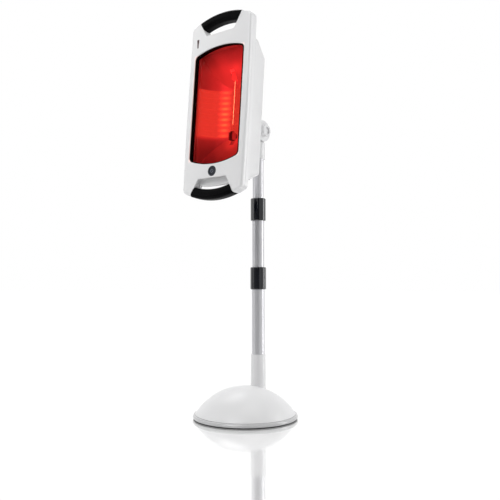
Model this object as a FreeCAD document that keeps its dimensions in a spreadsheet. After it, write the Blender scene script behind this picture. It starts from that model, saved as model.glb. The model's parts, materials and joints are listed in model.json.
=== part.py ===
import FreeCAD, Part
import math
import os
import re

import Sketcher
from FreeCAD import Placement, Rotation, Vector

# Free-standing infrared heat lamp on a telescopic pole, in millimetres.
#
# World frame: origin at the centre of the base's underside, +Z up, the lamp
# shines towards -Y.  The pole stands behind the origin, on +Y.
# Face frame, used by everything in the head: origin at the middle of the
# window on the front face, X across, Y into the head, Z up along the face.

os.makedirs("parts", exist_ok=True)
doc = FreeCAD.newDocument("HeatLamp")

# ------------------------------------------------------------------ sizes
SIZES = [
    # base
    ("base_radius", 130.0, "foot pad radius"),
    ("pad_thick", 3.0, "foot pad thickness"),
    ("plate_thick", 2.0, "steel bottom plate"),
    ("pole_access", 14.0, "opening in the plate under the pole bolt"),
    ("rim_radius", 131.7, "widest radius of the base"),
    ("rim_top", 11.5, "height of the rim band's top"),
    ("rim_inner", 124.2, "inner radius of the rim band"),
    ("rim_foot_step", 1.0, "rim's foot inside its widest radius"),
    ("rim_foot_arc", 6.0, "arc of the rim's lower half"),
    ("rim_side_arc", 8.0, "arc of the rim's upper half"),
    ("rim_shoulder", 1.6, "start of the rim's rounded shoulder"),
    ("rim_shoulder_arc", 2.4, "arc of that shoulder"),
    ("rim_shoulder_end", 3.6, "end of that shoulder, inside the widest radius"),
    ("base_height", 79.5, "top of the dome"),
    ("dome_radius", 150.0, "radius of the dome's arc"),
    ("dome_foot", 12.0, "height where the dome ends above the rim"),
    ("dome_foot_radius", 125.3, "dome radius at that height"),
    ("dome_wall", 3.0, "wall of the dome"),
    ("skirt_radius", 124.0, "skirt that stands on the bottom plate"),
    ("weight_radius", 100.0, "cast-iron weight"),
    ("weight_thick", 18.0, "thickness of the weight"),
    ("sink_radius", 9.0, "counterbore under the weight for the pole bolt"),
    ("sink_depth", 7.5, "depth of that counterbore"),
    ("cover_screw_circle", 112.0, "circle of the four cover screws"),
    ("cover_screw", 1.8, "shank radius of a cover screw"),
    ("cover_screw_head", 3.8, "countersunk head of a cover screw"),
    ("cover_screw_reach", 12.0, "cover screw above the plate"),
    ("boss_radius", 5.0, "boss round a cover screw"),
    ("boss_top", 22.0, "height of a boss, where the dome has closed over it"),
    ("post_circle", 75.0, "circle of the posts that hold the weight down"),
    ("post_radius", 6.0, "radius of a post"),
    ("post_top", 55.0, "height of a post inside the dome"),
    # pole
    ("pole_offset", 52.8, "pole axis behind the base centre"),
    ("socket_top", 154.7, "top of the white pole socket"),
    ("socket_radius", 19.0, "socket radius at its top"),
    ("socket_foot_radius", 19.6, "socket radius at its foot"),
    ("socket_round", 1.2, "rounded mouth of the socket"),
    ("socket_floor", 6.0, "floor of the socket that the tube stands on"),
    ("flange_radius", 30.0, "socket flange on the weight"),
    ("flange_thick", 4.0, "thickness of that flange"),
    ("bolt_radius", 4.0, "hinge bolt and pole bolt"),
    ("bolt_gap", 0.3, "radial gap round a bolt in a plain hole"),
    ("bolt_head", 7.0, "head radius of the pole bolt"),
    ("bolt_head_height", 5.5, "head height of the pole bolt"),
    ("pole_bolt_length", 48.0, "pole bolt from its head's foot"),
    ("pole_washer_radius", 8.6, "washer under the pole bolt's head"),
    ("pole_washer_thick", 1.5, "thickness of that washer"),
    ("plug_height", 30.0, "threaded plug in the lower tube's foot"),
    ("tube_wall", 0.9, "wall of every pole tube"),
    ("press_gap", 0.05, "radial gap of pieces that sit tight in each other"),
    ("slide_gap", 0.3, "radial gap of sliding and turning pieces"),
    ("lower_radius", 16.75, "lower tube"),
    ("middle_radius", 15.55, "middle tube"),
    ("upper_radius", 14.35, "upper tube"),
    ("lower_tube_top", 366.0, "top of the lower tube"),
    ("middle_tube_bottom", 220.0, "foot of the middle tube at rest"),
    ("middle_tube_top", 545.0, "top of the middle tube at rest"),
    ("upper_tube_bottom", 370.0, "foot of the upper tube at rest"),
    ("upper_tube_top", 695.0, "top of the upper tube at rest"),
    ("glide_height", 12.0, "plastic glide under a sliding tube"),
    ("glide_wall", 1.2, "wall of the glide's spigot inside the tube"),
    ("glide_gap", 0.07, "radial gap between a glide and the tube round it"),
    ("lower_collar_bottom", 321.6, "lower locking collar"),
    ("lower_collar_top", 379.3, "lower locking collar"),
    ("lower_collar_radius", 20.5, "lower locking collar"),
    ("upper_collar_bottom", 500.1, "upper locking collar"),
    ("upper_collar_top", 558.7, "upper locking collar"),
    ("upper_collar_radius", 19.8, "upper locking collar"),
    ("collar_round", 2.4, "rounded ends of the collars"),
    ("collar_cap", 4.5, "inner lip at a collar's top"),
    ("collar_lip", 7.0, "inner lip at a collar's foot"),
    ("collar_room", 0.4, "radial gap between a collar and its ferrule"),
    ("ferrule_length", 36.0, "threaded ferrule on a tube's mouth"),
    ("ferrule_wall", 1.8, "wall of the ferrule"),
    ("collet_height", 7.5, "split collet above the ferrule"),
    ("collet_step", 0.4, "collet inside the ferrule's outer radius"),
    ("collet_slit", 3.0, "slit in the collet"),
    # neck and hinge
    ("neck_bottom", 662.2, "foot of the white neck fitting"),
    ("neck_radius", 18.0, "neck fitting"),
    ("neck_round", 0.8, "rounded foot of the neck, and the room above the tube"),
    ("neck_shoulder", 702.5, "where the neck's shoulder begins"),
    ("neck_top", 706.2, "flat top of the neck under the tongue"),
    ("tongue_half", 9.0, "half width of the neck's tongue"),
    ("tongue_root", 15.0, "half depth of the tongue's root"),
    ("tongue_radius", 24.0, "round end of the tongue"),
    ("hinge_height", 735.2, "tilt axis above the floor"),
    ("hinge_radius", 27.2, "round cheeks of the head's bracket"),
    ("cheek_inner", 9.9, "inner face of a cheek"),
    ("cheek_outer", 19.0, "outer face of a cheek"),
    ("hub_radius", 15.2, "round hub on a cheek"),
    ("hub_outer", 30.0, "outer face of a hub"),
    ("hub_round", 1.2, "rounded edge of a hub"),
    ("washer_half", 9.6, "outer face of a friction washer"),
    ("washer_radius", 14.0, "friction washer"),
    ("recess_radius", 9.3, "recess for the hinge bolt's head"),
    ("recess_depth", 8.6, "depth of that recess"),
    ("hinge_head", 6.5, "head radius of the hinge bolt"),
    ("hinge_head_height", 3.5, "head height of the hinge bolt"),
    ("nut_radius", 7.2, "corner radius of the hexagon nut"),
    ("nut_height", 3.8, "height of the nut"),
    ("cap_radius", 8.9, "cap that covers a recess"),
    ("cap_thick", 1.2, "thickness of that cap"),
    ("cap_sunk", 2.6, "cap below the hub's face"),
    ("cap_crown", 30.0, "radius of the cap's crowned face"),
    ("cap_rise", 0.5, "top of that crown above the cap's flat"),
    # head
    ("head_lean", 4.68, "backward lean of the head, degrees"),
    ("face_reach", 170.7, "front face ahead of the tilt axis"),
    ("window_rise", 24.8, "window centre above the tilt axis"),
    ("head_half_height", 235.0, "half height of the face at its middle"),
    ("head_half_width", 94.5, "half width of the face at its ends"),
    ("crown_radius", 212.0, "arc of the top and bottom ends"),
    ("side_arc_radius", 9000.0, "slight bow of the long sides"),
    ("corner_radius", 14.0, "rounded corners of the face"),
    ("face_round", 5.5, "rounded front edge"),
    ("back_round", 2.5, "rounded back edge of the flange"),
    ("seam_round", 0.5, "rounded edges along the shells' seam"),
    ("front_depth", 12.5, "depth of the front shell"),
    ("flange_depth", 25.5, "back of the rear shell's flange"),
    ("shell_wall", 2.5, "wall of both shells"),
    ("cavity_half", 91.0, "half width inside the front shell"),
    ("window_half", 79.4, "half width of the window"),
    ("window_side", 134.0, "half height of its straight sides"),
    ("window_arc_radius", 222.0, "arc of its top and bottom edges"),
    ("window_corner", 12.0, "rounded corners of the window"),
    ("window_round", 1.4, "rounded front edge of the window"),
    ("slot_floor", 182.5, "window side of the handle slots"),
    ("slot_half", 45.0, "half width of a slot on that side"),
    ("slot_flare", 0.56, "flare of the slot's ends"),
    ("slot_corner", 6.0, "rounded corners of a slot"),
    ("slot_over", 20.0, "slot cut beyond the face's end"),
    ("grip_height", 25.5, "height of a hand grip"),
    ("grip_over", 0.6, "grip beyond the face's arc"),
    ("grip_proud", 1.5, "how far a grip stands proud of the shells"),
    ("grip_round", 8.0, "rounded edges of a grip"),
    ("core_gap", 4.0, "rubber thickness over the handle's core"),
    ("core_front", 3.0, "front of the handle's core"),
    ("core_back", 22.5, "back of the handle's core"),
    ("core_root", 5.0, "handle's core past the slot's end, into the shell"),
    ("grip_root", 8.0, "hollow of the grip past the slot's end"),
    ("shell_screw_across", 80.0, "screws that join the shells, from the middle"),
    ("shell_screw_rise", 203.0, "those screws above and below the window centre"),
    ("shell_screw", 1.4, "shank of a shell screw"),
    ("shell_screw_hole", 1.6, "hole for it in the rear shell"),
    ("shell_screw_head", 3.2, "head of a shell screw"),
    ("shell_screw_sink", 3.4, "sunk seat of that head"),
    ("shell_screw_sunk", 0.2, "head of a shell screw below the flange's back"),
    ("shell_screw_tip", 4.0, "depth where the shank ends"),
    ("box_half", 88.0, "half width of the rear housing"),
    ("box_back", 77.5, "back of the rear housing"),
    ("box_roof_front", 165.0, "height of the roof's front edge"),
    ("box_roof_break", 46.0, "depth where the roof starts to slope"),
    ("box_roof_break_height", 160.0, "height there"),
    ("box_roof_back", 122.4, "height of the roof's rear edge"),
    ("box_floor_front", 200.6, "drop of the floor's front edge"),
    ("box_floor_break", 19.0, "depth where the floor starts to rise"),
    ("box_floor_back", 170.2, "drop of the floor's rear edge"),
    ("box_belly_radius", 300.0, "arc of the floor seen from the front"),
    ("box_round", 9.0, "rounded back edges of the housing"),
    ("hump_half", 46.0, "half width of the hump on the back"),
    ("hump_side", 108.0, "half height of the hump"),
    ("hump_back", 100.0, "back of the hump"),
    ("hump_root", 12.0, "hump's root inside the housing's back"),
    ("hump_round", 9.0, "rounded edges of the hump"),
    ("vent_start", 49.0, "depth of the first louvre slot"),
    ("vent_pitch", 6.5, "spacing of the slots"),
    ("vent_width", 3.2, "width of a slot"),
    ("roof_vent_half", 58.0, "half length of a slot in the roof"),
    ("floor_vent_half", 40.0, "half length of a slot in the floor"),
    ("floor_vent_step", 4.0, "floor slots ahead of the roof slots"),
    ("gland_across", 66.0, "cord inlet beside the middle"),
    ("gland_depth", 57.0, "cord inlet behind the face"),
    ("gland_drop", 178.6, "housing's floor at the cord inlet"),
    ("gland_flange", 5.0, "flange of the cord gland"),
    ("gland_flange_drop", 4.5, "flange's foot below the floor"),
    ("gland_neck", 3.8, "neck of the gland in its hole"),
    ("gland_bore", 2.7, "bore for the cord"),
    ("gland_reach", 5.0, "neck above the floor"),
    # bracket
    ("plate_back", 105.5, "back of the bracket's plate"),
    ("plate_half", 30.0, "half width of that plate"),
    ("plate_side", 33.0, "half height of that plate"),
    ("arm_head", 30.0, "arm above the tilt axis at the plate"),
    ("arm_foot", 27.0, "arm below the tilt axis at the plate"),
    ("arm_waist", 11.0, "arm below the tilt axis at its narrowest"),
    ("arm_waist_reach", 33.0, "that place ahead of the tilt axis"),
    ("fork_reach", 32.0, "floor of the fork ahead of the tilt axis"),
    ("fork_room", 40.0, "reach of the fork's gap past the tilt axis"),
    ("bracket_round", 1.6, "rounded edges of the cheeks"),
    ("bracket_screw_across", 23.0, "bracket screws from the middle"),
    ("bracket_screw_rise", 26.0, "bracket screws above and below the tilt axis"),
    ("bracket_screw", 2.0, "hole for a bracket screw"),
    ("bracket_screw_head", 3.8, "head of a bracket screw"),
    ("bracket_screw_height", 2.6, "height of that head"),
    ("bracket_screw_reach", 9.0, "bracket screw inside the housing"),
    ("bracket_boss", 5.0, "boss round a bracket screw"),
    ("bracket_boss_length", 10.0, "length of that boss"),
    ("drive_radius", 1.5, "drive socket in a screw's head"),
    ("drive_depth", 1.2, "depth of that socket"),
    # optics
    ("glass_front", 3.2, "front of the filter glass"),
    ("glass_thick", 4.0, "thickness of the filter glass"),
    ("glass_margin", 2.4, "glass hidden behind the window's edge"),
    ("gasket_edge", 1.5, "gasket outside the glass"),
    ("gasket_lip", 0.6, "gasket's inner edge outside the window"),
    ("gasket_back", 0.7, "gasket behind the glass"),
    ("frame_back", 17.0, "back of the black inner frame"),
    ("frame_wall", 1.2, "wall of the black inner frame"),
    ("frame_edge", 3.5, "flange of the frame outside the window"),
    ("ear_across", 52.0, "ears of the frame, from the middle"),
    ("ear_rise", 160.0, "their screws above and below the window centre"),
    ("ear_half", 5.0, "half width of an ear"),
    ("ear_post", 3.2, "post of the front shell under an ear"),
    ("ear_screw", 1.2, "shank of the screw in that post"),
    ("ear_screw_head", 2.6, "head of that screw"),
    ("ear_screw_height", 1.8, "height of that head"),
    ("reflector_front", 26.0, "mouth of the reflector"),
    ("reflector_back", 80.0, "deepest line of the reflector"),
    ("reflector_half", 80.0, "half width of its mouth"),
    ("reflector_side", 146.0, "half height of its mouth"),
    ("reflector_flat", 61.0, "half height of its straight trough"),
    ("reflector_wall", 0.8, "sheet thickness"),
    ("reflector_tab", 100.0, "half length of the flange along each side"),
    ("rib_pitch", 14.2, "spacing of the ribs in the reflector"),
    ("rib_height", 4.0, "width of a rib"),
    ("rib_rise", 1.2, "how far a rib stands out"),
    ("rib_root", 0.4, "rib's root in the sheet"),
    ("lamp_depth", 68.0, "lamp axis behind the face"),
    ("lamp_rise", 14.5, "middle of the lamp above the window centre"),
    ("lamp_half", 66.5, "half length of the quartz tube"),
    ("lamp_radius", 4.5, "quartz tube"),
    ("quartz_wall", 1.0, "wall of the quartz tube"),
    ("coil_radius", 1.3, "coiled filament"),
    ("coil_margin", 7.0, "straight wire at each end of the coil"),
    ("wire_radius", 0.5, "straight wire of the filament"),
    ("cap_length", 9.0, "lamp's end cap"),
    ("cap_step", 0.6, "end cap outside the quartz tube"),
    ("socket_block", 13.0, "side of a ceramic lamp holder"),
    ("holder_start", 3.0, "holder past the quartz tube's end"),
    ("holder_length", 19.0, "length of a holder"),
    ("holder_foot", 5.0, "half width of a holder's foot"),
    ("holder_foot_start", 4.0, "foot past the quartz tube's end"),
    ("holder_foot_length", 8.0, "length of that foot"),
    ("holder_room", 0.6, "room beside a holder in the reflector"),
    ("upper_hole_foot", 74.0, "opening in the reflector for the lamp's upper end"),
    ("upper_hole_top", 106.0, "top of that opening"),
    ("lower_hole_top", 54.4, "opening for the lower end, below the window centre"),
    ("lower_hole_foot", 87.0, "foot of that opening"),
    ("shield_depth", 88.0, "heat shield behind the face"),
    ("shield_thick", 0.8, "sheet of the heat shield"),
    ("shield_half", 38.0, "half width of the heat shield"),
    ("shield_side", 96.0, "half height of the heat shield"),
    ("shield_leg", 7.0, "side of a leg of the heat shield"),
    ("shield_inset", 5.0, "leg inside the shield's edges"),
    # wiring
    ("block_left", 10.0, "terminal block's inner end"),
    ("block_length", 36.0, "length of the terminal block"),
    ("block_front", 48.0, "front of the terminal block"),
    ("block_back", 60.0, "back of the terminal block"),
    ("block_drop", 150.0, "terminal block below the window centre"),
    ("block_half", 8.0, "half height of the terminal block"),
    ("block_foot", 3.0, "half height of its foot"),
    ("clamp_pitch", 12.0, "spacing of its clamps"),
    ("clamp_margin", 6.0, "first clamp from the block's end"),
    ("clamp_radius", 2.2, "well of a clamp screw"),
    ("clamp_depth", 8.0, "depth of that well"),
    ("cutout_across", 26.0, "thermal cut-out left of the middle"),
    ("cutout_drop", 138.0, "thermal cut-out below the window centre"),
    ("cutout_radius", 8.0, "body of the thermal cut-out"),
    ("cutout_height", 5.2, "height of its body"),
    ("tab_across", 4.0, "tabs from the middle of their device"),
    ("tab_half", 2.0, "half width of a tab"),
    ("tab_reach", 5.0, "length of a tab"),
    ("lead_radius", 1.2, "insulated lead"),
    ("lead_bend", 3.0, "bend radius of a lead"),
    ("lead_side", 62.0, "upper lamp lead beside the reflector"),
    ("lead_turn", 112.0, "upper lamp lead's turn above the lamp"),
    ("lead_drop", 130.0, "where the leads turn to the terminal block"),
    # controls
    ("button_drop", 166.8, "button centre below the window centre"),
    ("button_hole", 12.7, "hole for the push button"),
    ("button_radius", 12.4, "push button"),
    ("button_proud", 0.8, "button face ahead of the shell"),
    ("button_round", 0.7, "rounded edge of the button"),
    ("button_back", 4.5, "back of the button's cap"),
    ("stem_radius", 3.5, "stem of the button"),
    ("stem_back", 11.5, "back of that stem at rest"),
    ("lug_reach", 15.5, "lugs that stop the button from falling out"),
    ("lug_half", 3.0, "half height of a lug"),
    ("lug_gap", 0.4, "room between a lug and the shell"),
    ("lug_thick", 1.6, "thickness of a lug"),
    ("switch_front", 14.5, "front of the switch body"),
    ("switch_back", 30.0, "back of the switch body"),
    ("switch_half", 11.0, "half width of the switch body"),
    ("switch_side", 8.0, "half height of the switch body"),
    ("switch_plate", 1.5, "thickness of its mounting plate"),
    ("switch_plate_half", 22.5, "half width of that plate"),
    ("switch_plate_side", 4.0, "half height of that plate"),
    ("switch_post_across", 19.3, "posts under that plate, from the middle"),
    ("switch_post", 2.8, "radius of those posts"),
    ("indicator_across", 72.0, "pilot light, to the left of the middle"),
    ("indicator_rise", 168.2, "pilot light above the window centre"),
    ("indicator_half", 11.0, "half height of the pilot light"),
    ("indicator_foot", 1.3, "half width of its foot"),
    ("indicator_head", 3.4, "half width of its head"),
    ("indicator_proud", 0.5, "pilot light ahead of and behind the wall"),
]

sheet = doc.addObject("Spreadsheet::Sheet", "Dims")
for row, (alias, value, meaning) in enumerate(SIZES, start=1):
    sheet.set(f"A{row}", alias)
    sheet.set(f"B{row}", str(value))
    sheet.set(f"C{row}", meaning)
    sheet.setAlias(f"B{row}", alias)
doc.recompute()

ALIASES = {alias for alias, _, _ in SIZES}


def cells(text):
    """An expression with each size's name turned into its cell."""
    return re.sub(r"[a-z_]+", lambda m: "Dims." + m[0] if m[0] in ALIASES else m[0], str(text))


def number(text):
    """The present value of an expression, in millimetres or degrees."""
    return float(sheet.evalExpression(cells(text)))


# ------------------------------------------------------- building helpers
counter = {"used": 0}


def fresh(stem):
    """A document name that is not used yet."""
    counter["used"] += 1
    return f"{stem}{counter['used']}"


def bind(obj, **properties):
    """Tie properties of an object to expressions of the sheet's cells."""
    for name, text in properties.items():
        obj.setExpression(name, cells(text))
    return obj


def move(obj, x="0", y="0", z="0"):
    """Tie an object's position to expressions."""
    for axis, text in (("x", x), ("y", y), ("z", z)):
        obj.setExpression(f".Placement.Base.{axis}", cells(text))
    return obj


def turned(obj, axis, degrees):
    """Turn an object about one of the frame's axes, at its own origin."""
    obj.Placement = Placement(Vector(), Rotation(axis, degrees))
    return obj


def rod(radius, height):
    """An upright cylinder on the origin."""
    return bind(doc.addObject("Part::Cylinder", fresh("Rod")), Radius=radius, Height=height)


def cross_rod(radius, start, end):
    """A cylinder along X from start to end, through the origin."""
    obj = turned(rod(radius, f"({end}) - ({start})"), Vector(0, 1, 0), 90)
    return move(obj, x=start)


def deep_rod(radius, front, back):
    """A cylinder along Y from front to back, through the origin."""
    obj = turned(rod(radius, f"({back}) - ({front})"), Vector(1, 0, 0), -90)
    return move(obj, y=front)


def block(x_range, y_range, z_range):
    """A box between pairs of expressions."""
    obj = doc.addObject("Part::Box", fresh("Block"))
    spans = [f"({high}) - ({low})" for low, high in (x_range, y_range, z_range)]
    bind(obj, Length=spans[0], Width=spans[1], Height=spans[2])
    return move(obj, x_range[0], y_range[0], z_range[0])


def cut(base, *tools):
    """The base without the tools."""
    obj = doc.addObject("Part::Cut", fresh("Cut"))
    obj.Base = base
    obj.Tool = tools[0] if len(tools) == 1 else joined(*tools)
    return obj


def joined(*pieces):
    """Pieces fused into one solid."""
    obj = doc.addObject("Part::MultiFuse", fresh("Fuse"))
    obj.Shapes = list(pieces)
    return obj


def shared(first, second):
    """What two solids have in common."""
    obj = doc.addObject("Part::Common", fresh("Common"))
    obj.Base = first
    obj.Tool = second
    return obj


def grouped(*pieces):
    """Separate solids kept together as one node."""
    obj = doc.addObject("Part::Compound", fresh("Group"))
    obj.Links = list(pieces)
    return obj


def edges_where(shape, test):
    """Names of the edges that pass a test."""
    return [f"Edge{index}" for index, edge in enumerate(shape.Edges, start=1) if test(edge)]


def rounded(base, radius, test):
    """A boolean result with the chosen edges rounded."""
    doc.recompute()
    obj = doc.addObject("Part::Fillet", fresh("Round"))
    obj.Base = base
    value = number(radius)
    names = edges_where(base.Shape, test)
    obj.Edges = [(int(name[4:]), value, value) for name in names]
    return obj


def arc_through(start, end, radius):
    """Arc from start to end; a positive radius bulges to the right of travel."""
    chord = end - start
    side = 1.0 if radius > 0 else -1.0
    left = Vector(-chord.y, chord.x, 0).normalize() * side
    centre = (start + end) * 0.5 + left * math.sqrt(radius ** 2 - chord.Length ** 2 / 4)
    first, last = (start, end) if radius > 0 else (end, start)
    begin = math.atan2(first.y - centre.y, first.x - centre.x)
    finish = math.atan2(last.y - centre.y, last.x - centre.x)
    if finish < begin:
        finish += 2 * math.pi
    return Part.ArcOfCircle(Part.Circle(centre, Vector(0, 0, 1), abs(radius)), begin, finish)


def sketch(body, plane, corners, offset="0"):
    """A closed, fully constrained outline on one of the body's planes.

    Each corner is (x, y) or (x, y, radius), where the radius makes the edge
    that leaves the corner an arc.  All are expressions.
    """
    drawing = body.newObject("Sketcher::SketchObject", fresh("Sketch"))
    support = next(item for item in body.Origin.OriginFeatures if item.Role == plane)
    drawing.AttachmentSupport = (support, "")
    drawing.MapMode = "FlatFace"
    drawing.setExpression(".AttachmentOffset.Base.z", cells(offset))
    points = [Vector(number(corner[0]), number(corner[1]), 0) for corner in corners]
    starts = []
    ends = []
    for index, corner in enumerate(corners):
        start = points[index]
        end = points[(index + 1) % len(points)]
        if len(corner) == 2:
            edge = drawing.addGeometry(Part.LineSegment(start, end), False)
            starts.append((edge, 1))
            ends.append((edge, 2))
            continue
        radius = number(corner[2])
        edge = drawing.addGeometry(arc_through(start, end, radius), False)
        starts.append((edge, 1 if radius > 0 else 2))
        ends.append((edge, 2 if radius > 0 else 1))
        name = f"radius_{index}"
        drawing.addConstraint(Sketcher.Constraint("Radius", edge, abs(radius)))
        drawing.renameConstraint(drawing.ConstraintCount - 1, name)
        sign = "" if radius > 0 else "-"
        drawing.setExpression(f"Constraints.{name}", cells(f"{sign}({corner[2]})"))
    for index in range(len(corners)):
        following = starts[(index + 1) % len(corners)]
        drawing.addConstraint(Sketcher.Constraint("Coincident", *ends[index], *following))
    for index, corner in enumerate(corners):
        for kind, axis, text in (("DistanceX", -2, corner[0]), ("DistanceY", -1, corner[1])):
            if text == "0":
                drawing.addConstraint(Sketcher.Constraint("PointOnObject", *starts[index], axis))
                continue
            name = f"{kind}_{index}"
            drawing.addConstraint(Sketcher.Constraint(kind, -1, 1, *starts[index], number(text)))
            drawing.renameConstraint(drawing.ConstraintCount - 1, name)
            drawing.setExpression(f"Constraints.{name}", cells(text))
    return drawing


def new_body():
    return doc.addObject("PartDesign::Body", fresh("Body"))


def feature(body, kind, profile, **properties):
    """A pad or pocket of a sketch, on top of what the body has."""
    obj = body.newObject(f"PartDesign::{kind}", fresh(kind))
    obj.Profile = profile
    return bind(obj, **properties)


def turned_body(corners):
    """A solid of revolution about the pole or base axis, drawn as (radius, height)."""
    body = new_body()
    profile = sketch(body, "XZ_Plane", corners)
    spin = body.newObject("PartDesign::Revolution", fresh("Revolution"))
    spin.Profile = profile
    spin.ReferenceAxis = (profile, ["V_Axis"])
    spin.Angle = 360
    return body


def front_pad(body, corners, front, back):
    """Material between two depths behind the face, with a front-view outline."""
    pad = feature(body, "Pad", sketch(body, "XZ_Plane", corners, f"-({front})"),
                  Length=f"({back}) - ({front})")
    pad.Reversed = True
    return pad


def front_pocket(body, corners, front, back):
    """A cut between two depths behind the face, with a front-view outline."""
    profile = sketch(body, "XZ_Plane", corners, f"-({front})")
    return feature(body, "Pocket", profile, Length=f"({back}) - ({front})")


def side_pad(corners, half_width):
    """A body with a side-view outline (depth, height), symmetric across X."""
    body = new_body()
    pad = feature(body, "Pad", sketch(body, "YZ_Plane", corners), Length=f"2 * ({half_width})")
    pad.Midplane = True
    return body


def fillet(body, radius, test):
    """Round the chosen edges of the body's last feature."""
    doc.recompute()
    tip = body.Tip
    obj = body.newObject("PartDesign::Fillet", fresh("Fillet"))
    obj.Base = (tip, edges_where(tip.Shape, test))
    bind(obj, Radius=radius)
    body.Tip = obj
    return obj


def along(edge, axis):
    """True for a straight edge along one axis."""
    box = edge.BoundBox
    spans = {"x": box.XLength, "y": box.YLength, "z": box.ZLength}
    others = [span for name, span in spans.items() if name != axis]
    return spans[axis] > 0.5 and max(others) < 1e-4


def level(edge, axis, value):
    """True for an edge that lies wholly at one value of an axis."""
    box = edge.BoundBox
    low, high = {"x": (box.XMin, box.XMax), "y": (box.YMin, box.YMax), "z": (box.ZMin, box.ZMax)}[axis]
    return abs(low - value) < 1e-3 and abs(high - value) < 1e-3


# ---------------------------------------------------------------- outlines
def face_outline(inset="0"):
    """The face: bowed sides, arched top and bottom, seen from the front."""
    half = f"head_half_width - ({inset})"
    arc = f"crown_radius - ({inset})"
    rise = f"head_half_height - crown_radius + sqrt(({arc}) ^ 2 - ({half}) ^ 2)"
    return [(f"-({half})", f"-({rise})", arc), (half, f"-({rise})", "side_arc_radius"),
            (half, rise, arc), (f"-({half})", rise, "side_arc_radius")]


def window_outline(margin="0"):
    """The window: straight sides, arched top and bottom."""
    half = f"window_half + ({margin})"
    side = f"window_side + ({margin})"
    return [(f"-({half})", f"-({side})", "window_arc_radius"), (half, f"-({side})"),
            (half, side, "window_arc_radius"), (f"-({half})", side)]


def slot_outline(sign):
    """The flared space between the window and a handle's outer edge."""
    reach = "head_half_height + slot_over"
    flared = f"slot_half + slot_flare * ({reach} - slot_floor)"
    near = [("-slot_half", f"{sign}slot_floor"), ("slot_half", f"{sign}slot_floor")]
    far = [(flared, f"{sign}({reach})"), (f"-({flared})", f"{sign}({reach})")]
    return near + far if sign == "" else far[::-1] + near[::-1]


def band_outline(sign, outer, inner, ends):
    """An arched band with slanted ends that follow the slot's flare."""
    centre = "(head_half_height - crown_radius)"
    lean = "(1 + slot_flare ^ 2)"
    start = f"(slot_half + ({ends}) + slot_flare * ({centre} - slot_floor))"

    def height(radius):
        root = f"sqrt(({radius}) ^ 2 * {lean} - {start} ^ 2)"
        return f"({root} - {start} * slot_flare) / {lean}"

    def corner(radius, side):
        up = height(radius)
        return f"{side}({start} + slot_flare * ({up}))", f"{sign}({centre} + {up})"

    if sign == "":
        return [(*corner(inner, "-"), f"-({inner})"), corner(inner, ""),
                (*corner(outer, ""), outer), corner(outer, "-")]
    return [(*corner(outer, "-"), outer), corner(outer, ""),
            (*corner(inner, ""), f"-({inner})"), corner(inner, "-")]


# ------------------------------------------------------------------- nodes
nodes = {}


def node(label, obj):
    """Keep an object as the sub-part of that name."""
    obj.Label = label
    nodes[label] = obj
    return obj


def on_pole(label, obj, height="0"):
    """A sub-part on the pole's axis."""
    return node(label, move(obj, y="pole_offset", z=height))


def in_head(label, obj):
    """A sub-part drawn in the face frame, leaned back with the head."""
    turned(obj, Vector(1, 0, 0), -number("head_lean"))
    obj.setExpression(".Placement.Rotation.Angle", cells("-head_lean * 1 deg"))
    lean = "head_lean * 1 deg"
    across = f"pole_offset - face_reach * cos({lean}) + window_rise * sin({lean})"
    up = f"hinge_height + face_reach * sin({lean}) + window_rise * cos({lean})"
    return node(label, move(obj, y=across, z=up))


# --------------------------------------------------------------------- base
plate_top = "pad_thick + plate_thick"
weight_top = f"{plate_top} + weight_thick"
tube_foot = f"{weight_top} + socket_floor"
SCREW_ANGLES = [45, 135, 225, 315]
POST_ANGLES = [210, 270, 330]


def around(obj, circle, degrees, z):
    """Place an upright piece on a circle about the base centre."""
    angle = math.radians(degrees)
    return move(obj, f"{circle} * {math.cos(angle):.6f}", f"{circle} * {math.sin(angle):.6f}", z)


def countersink(degrees):
    """Cone of a cover screw's head, or of its seat in the plate."""
    cone = bind(doc.addObject("Part::Cone", fresh("Sink")), Radius1="cover_screw_head",
                Radius2="cover_screw", Height="plate_thick")
    return around(cone, "cover_screw_circle", degrees, "pad_thick")


def foot_pad():
    return node("foot_pad", rod("base_radius", "pad_thick"))


def base_plate():
    disc = move(rod("skirt_radius", "plate_thick"), z="pad_thick")
    access = move(rod("pole_access", "plate_thick"), y="pole_offset", z="pad_thick")
    seats = [countersink(degrees) for degrees in SCREW_ANGLES]
    return node("base_plate", cut(disc, access, *seats))


def base_rim():
    return node("base_rim", turned_body([
        ("rim_inner", "pad_thick"), ("rim_radius - rim_foot_step", "pad_thick", "rim_foot_arc"),
        ("rim_radius", "(pad_thick + rim_top) / 2", "rim_side_arc"),
        ("rim_radius - rim_shoulder", "rim_top - rim_shoulder", "rim_shoulder_arc"),
        ("rim_radius - rim_shoulder_end", "rim_top"), ("rim_inner", "rim_top")]))


def base_cover():
    inner_arc = "dome_radius - dome_wall"
    skirt_inner = "skirt_radius - dome_wall"
    sunk = "base_height - dome_radius"
    inner_foot = f"{sunk} + sqrt(({inner_arc}) ^ 2 - ({skirt_inner}) ^ 2)"
    shell = turned_body([
        ("dome_foot_radius", "dome_foot", "dome_radius"), ("0", "base_height"),
        ("0", "base_height - dome_wall", f"-({inner_arc})"), (skirt_inner, inner_foot),
        (skirt_inner, plate_top), ("skirt_radius", plate_top), ("skirt_radius", "dome_foot")])
    bosses = []
    pilots = []
    for degrees in SCREW_ANGLES:
        bosses.append(around(rod("boss_radius", f"boss_top - ({plate_top})"),
                             "cover_screw_circle", degrees, plate_top))
        pilots.append(around(rod("cover_screw", "cover_screw_reach + 1"),
                             "cover_screw_circle", degrees, plate_top))
    for degrees in POST_ANGLES:
        bosses.append(around(rod("post_radius", f"post_top - ({weight_top})"),
                             "post_circle", degrees, weight_top))
    pole_hole = move(rod("socket_foot_radius + slide_gap", "base_height"), y="pole_offset", z=weight_top)
    return node("base_cover", cut(joined(shell, *bosses), pole_hole, *pilots))


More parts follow.
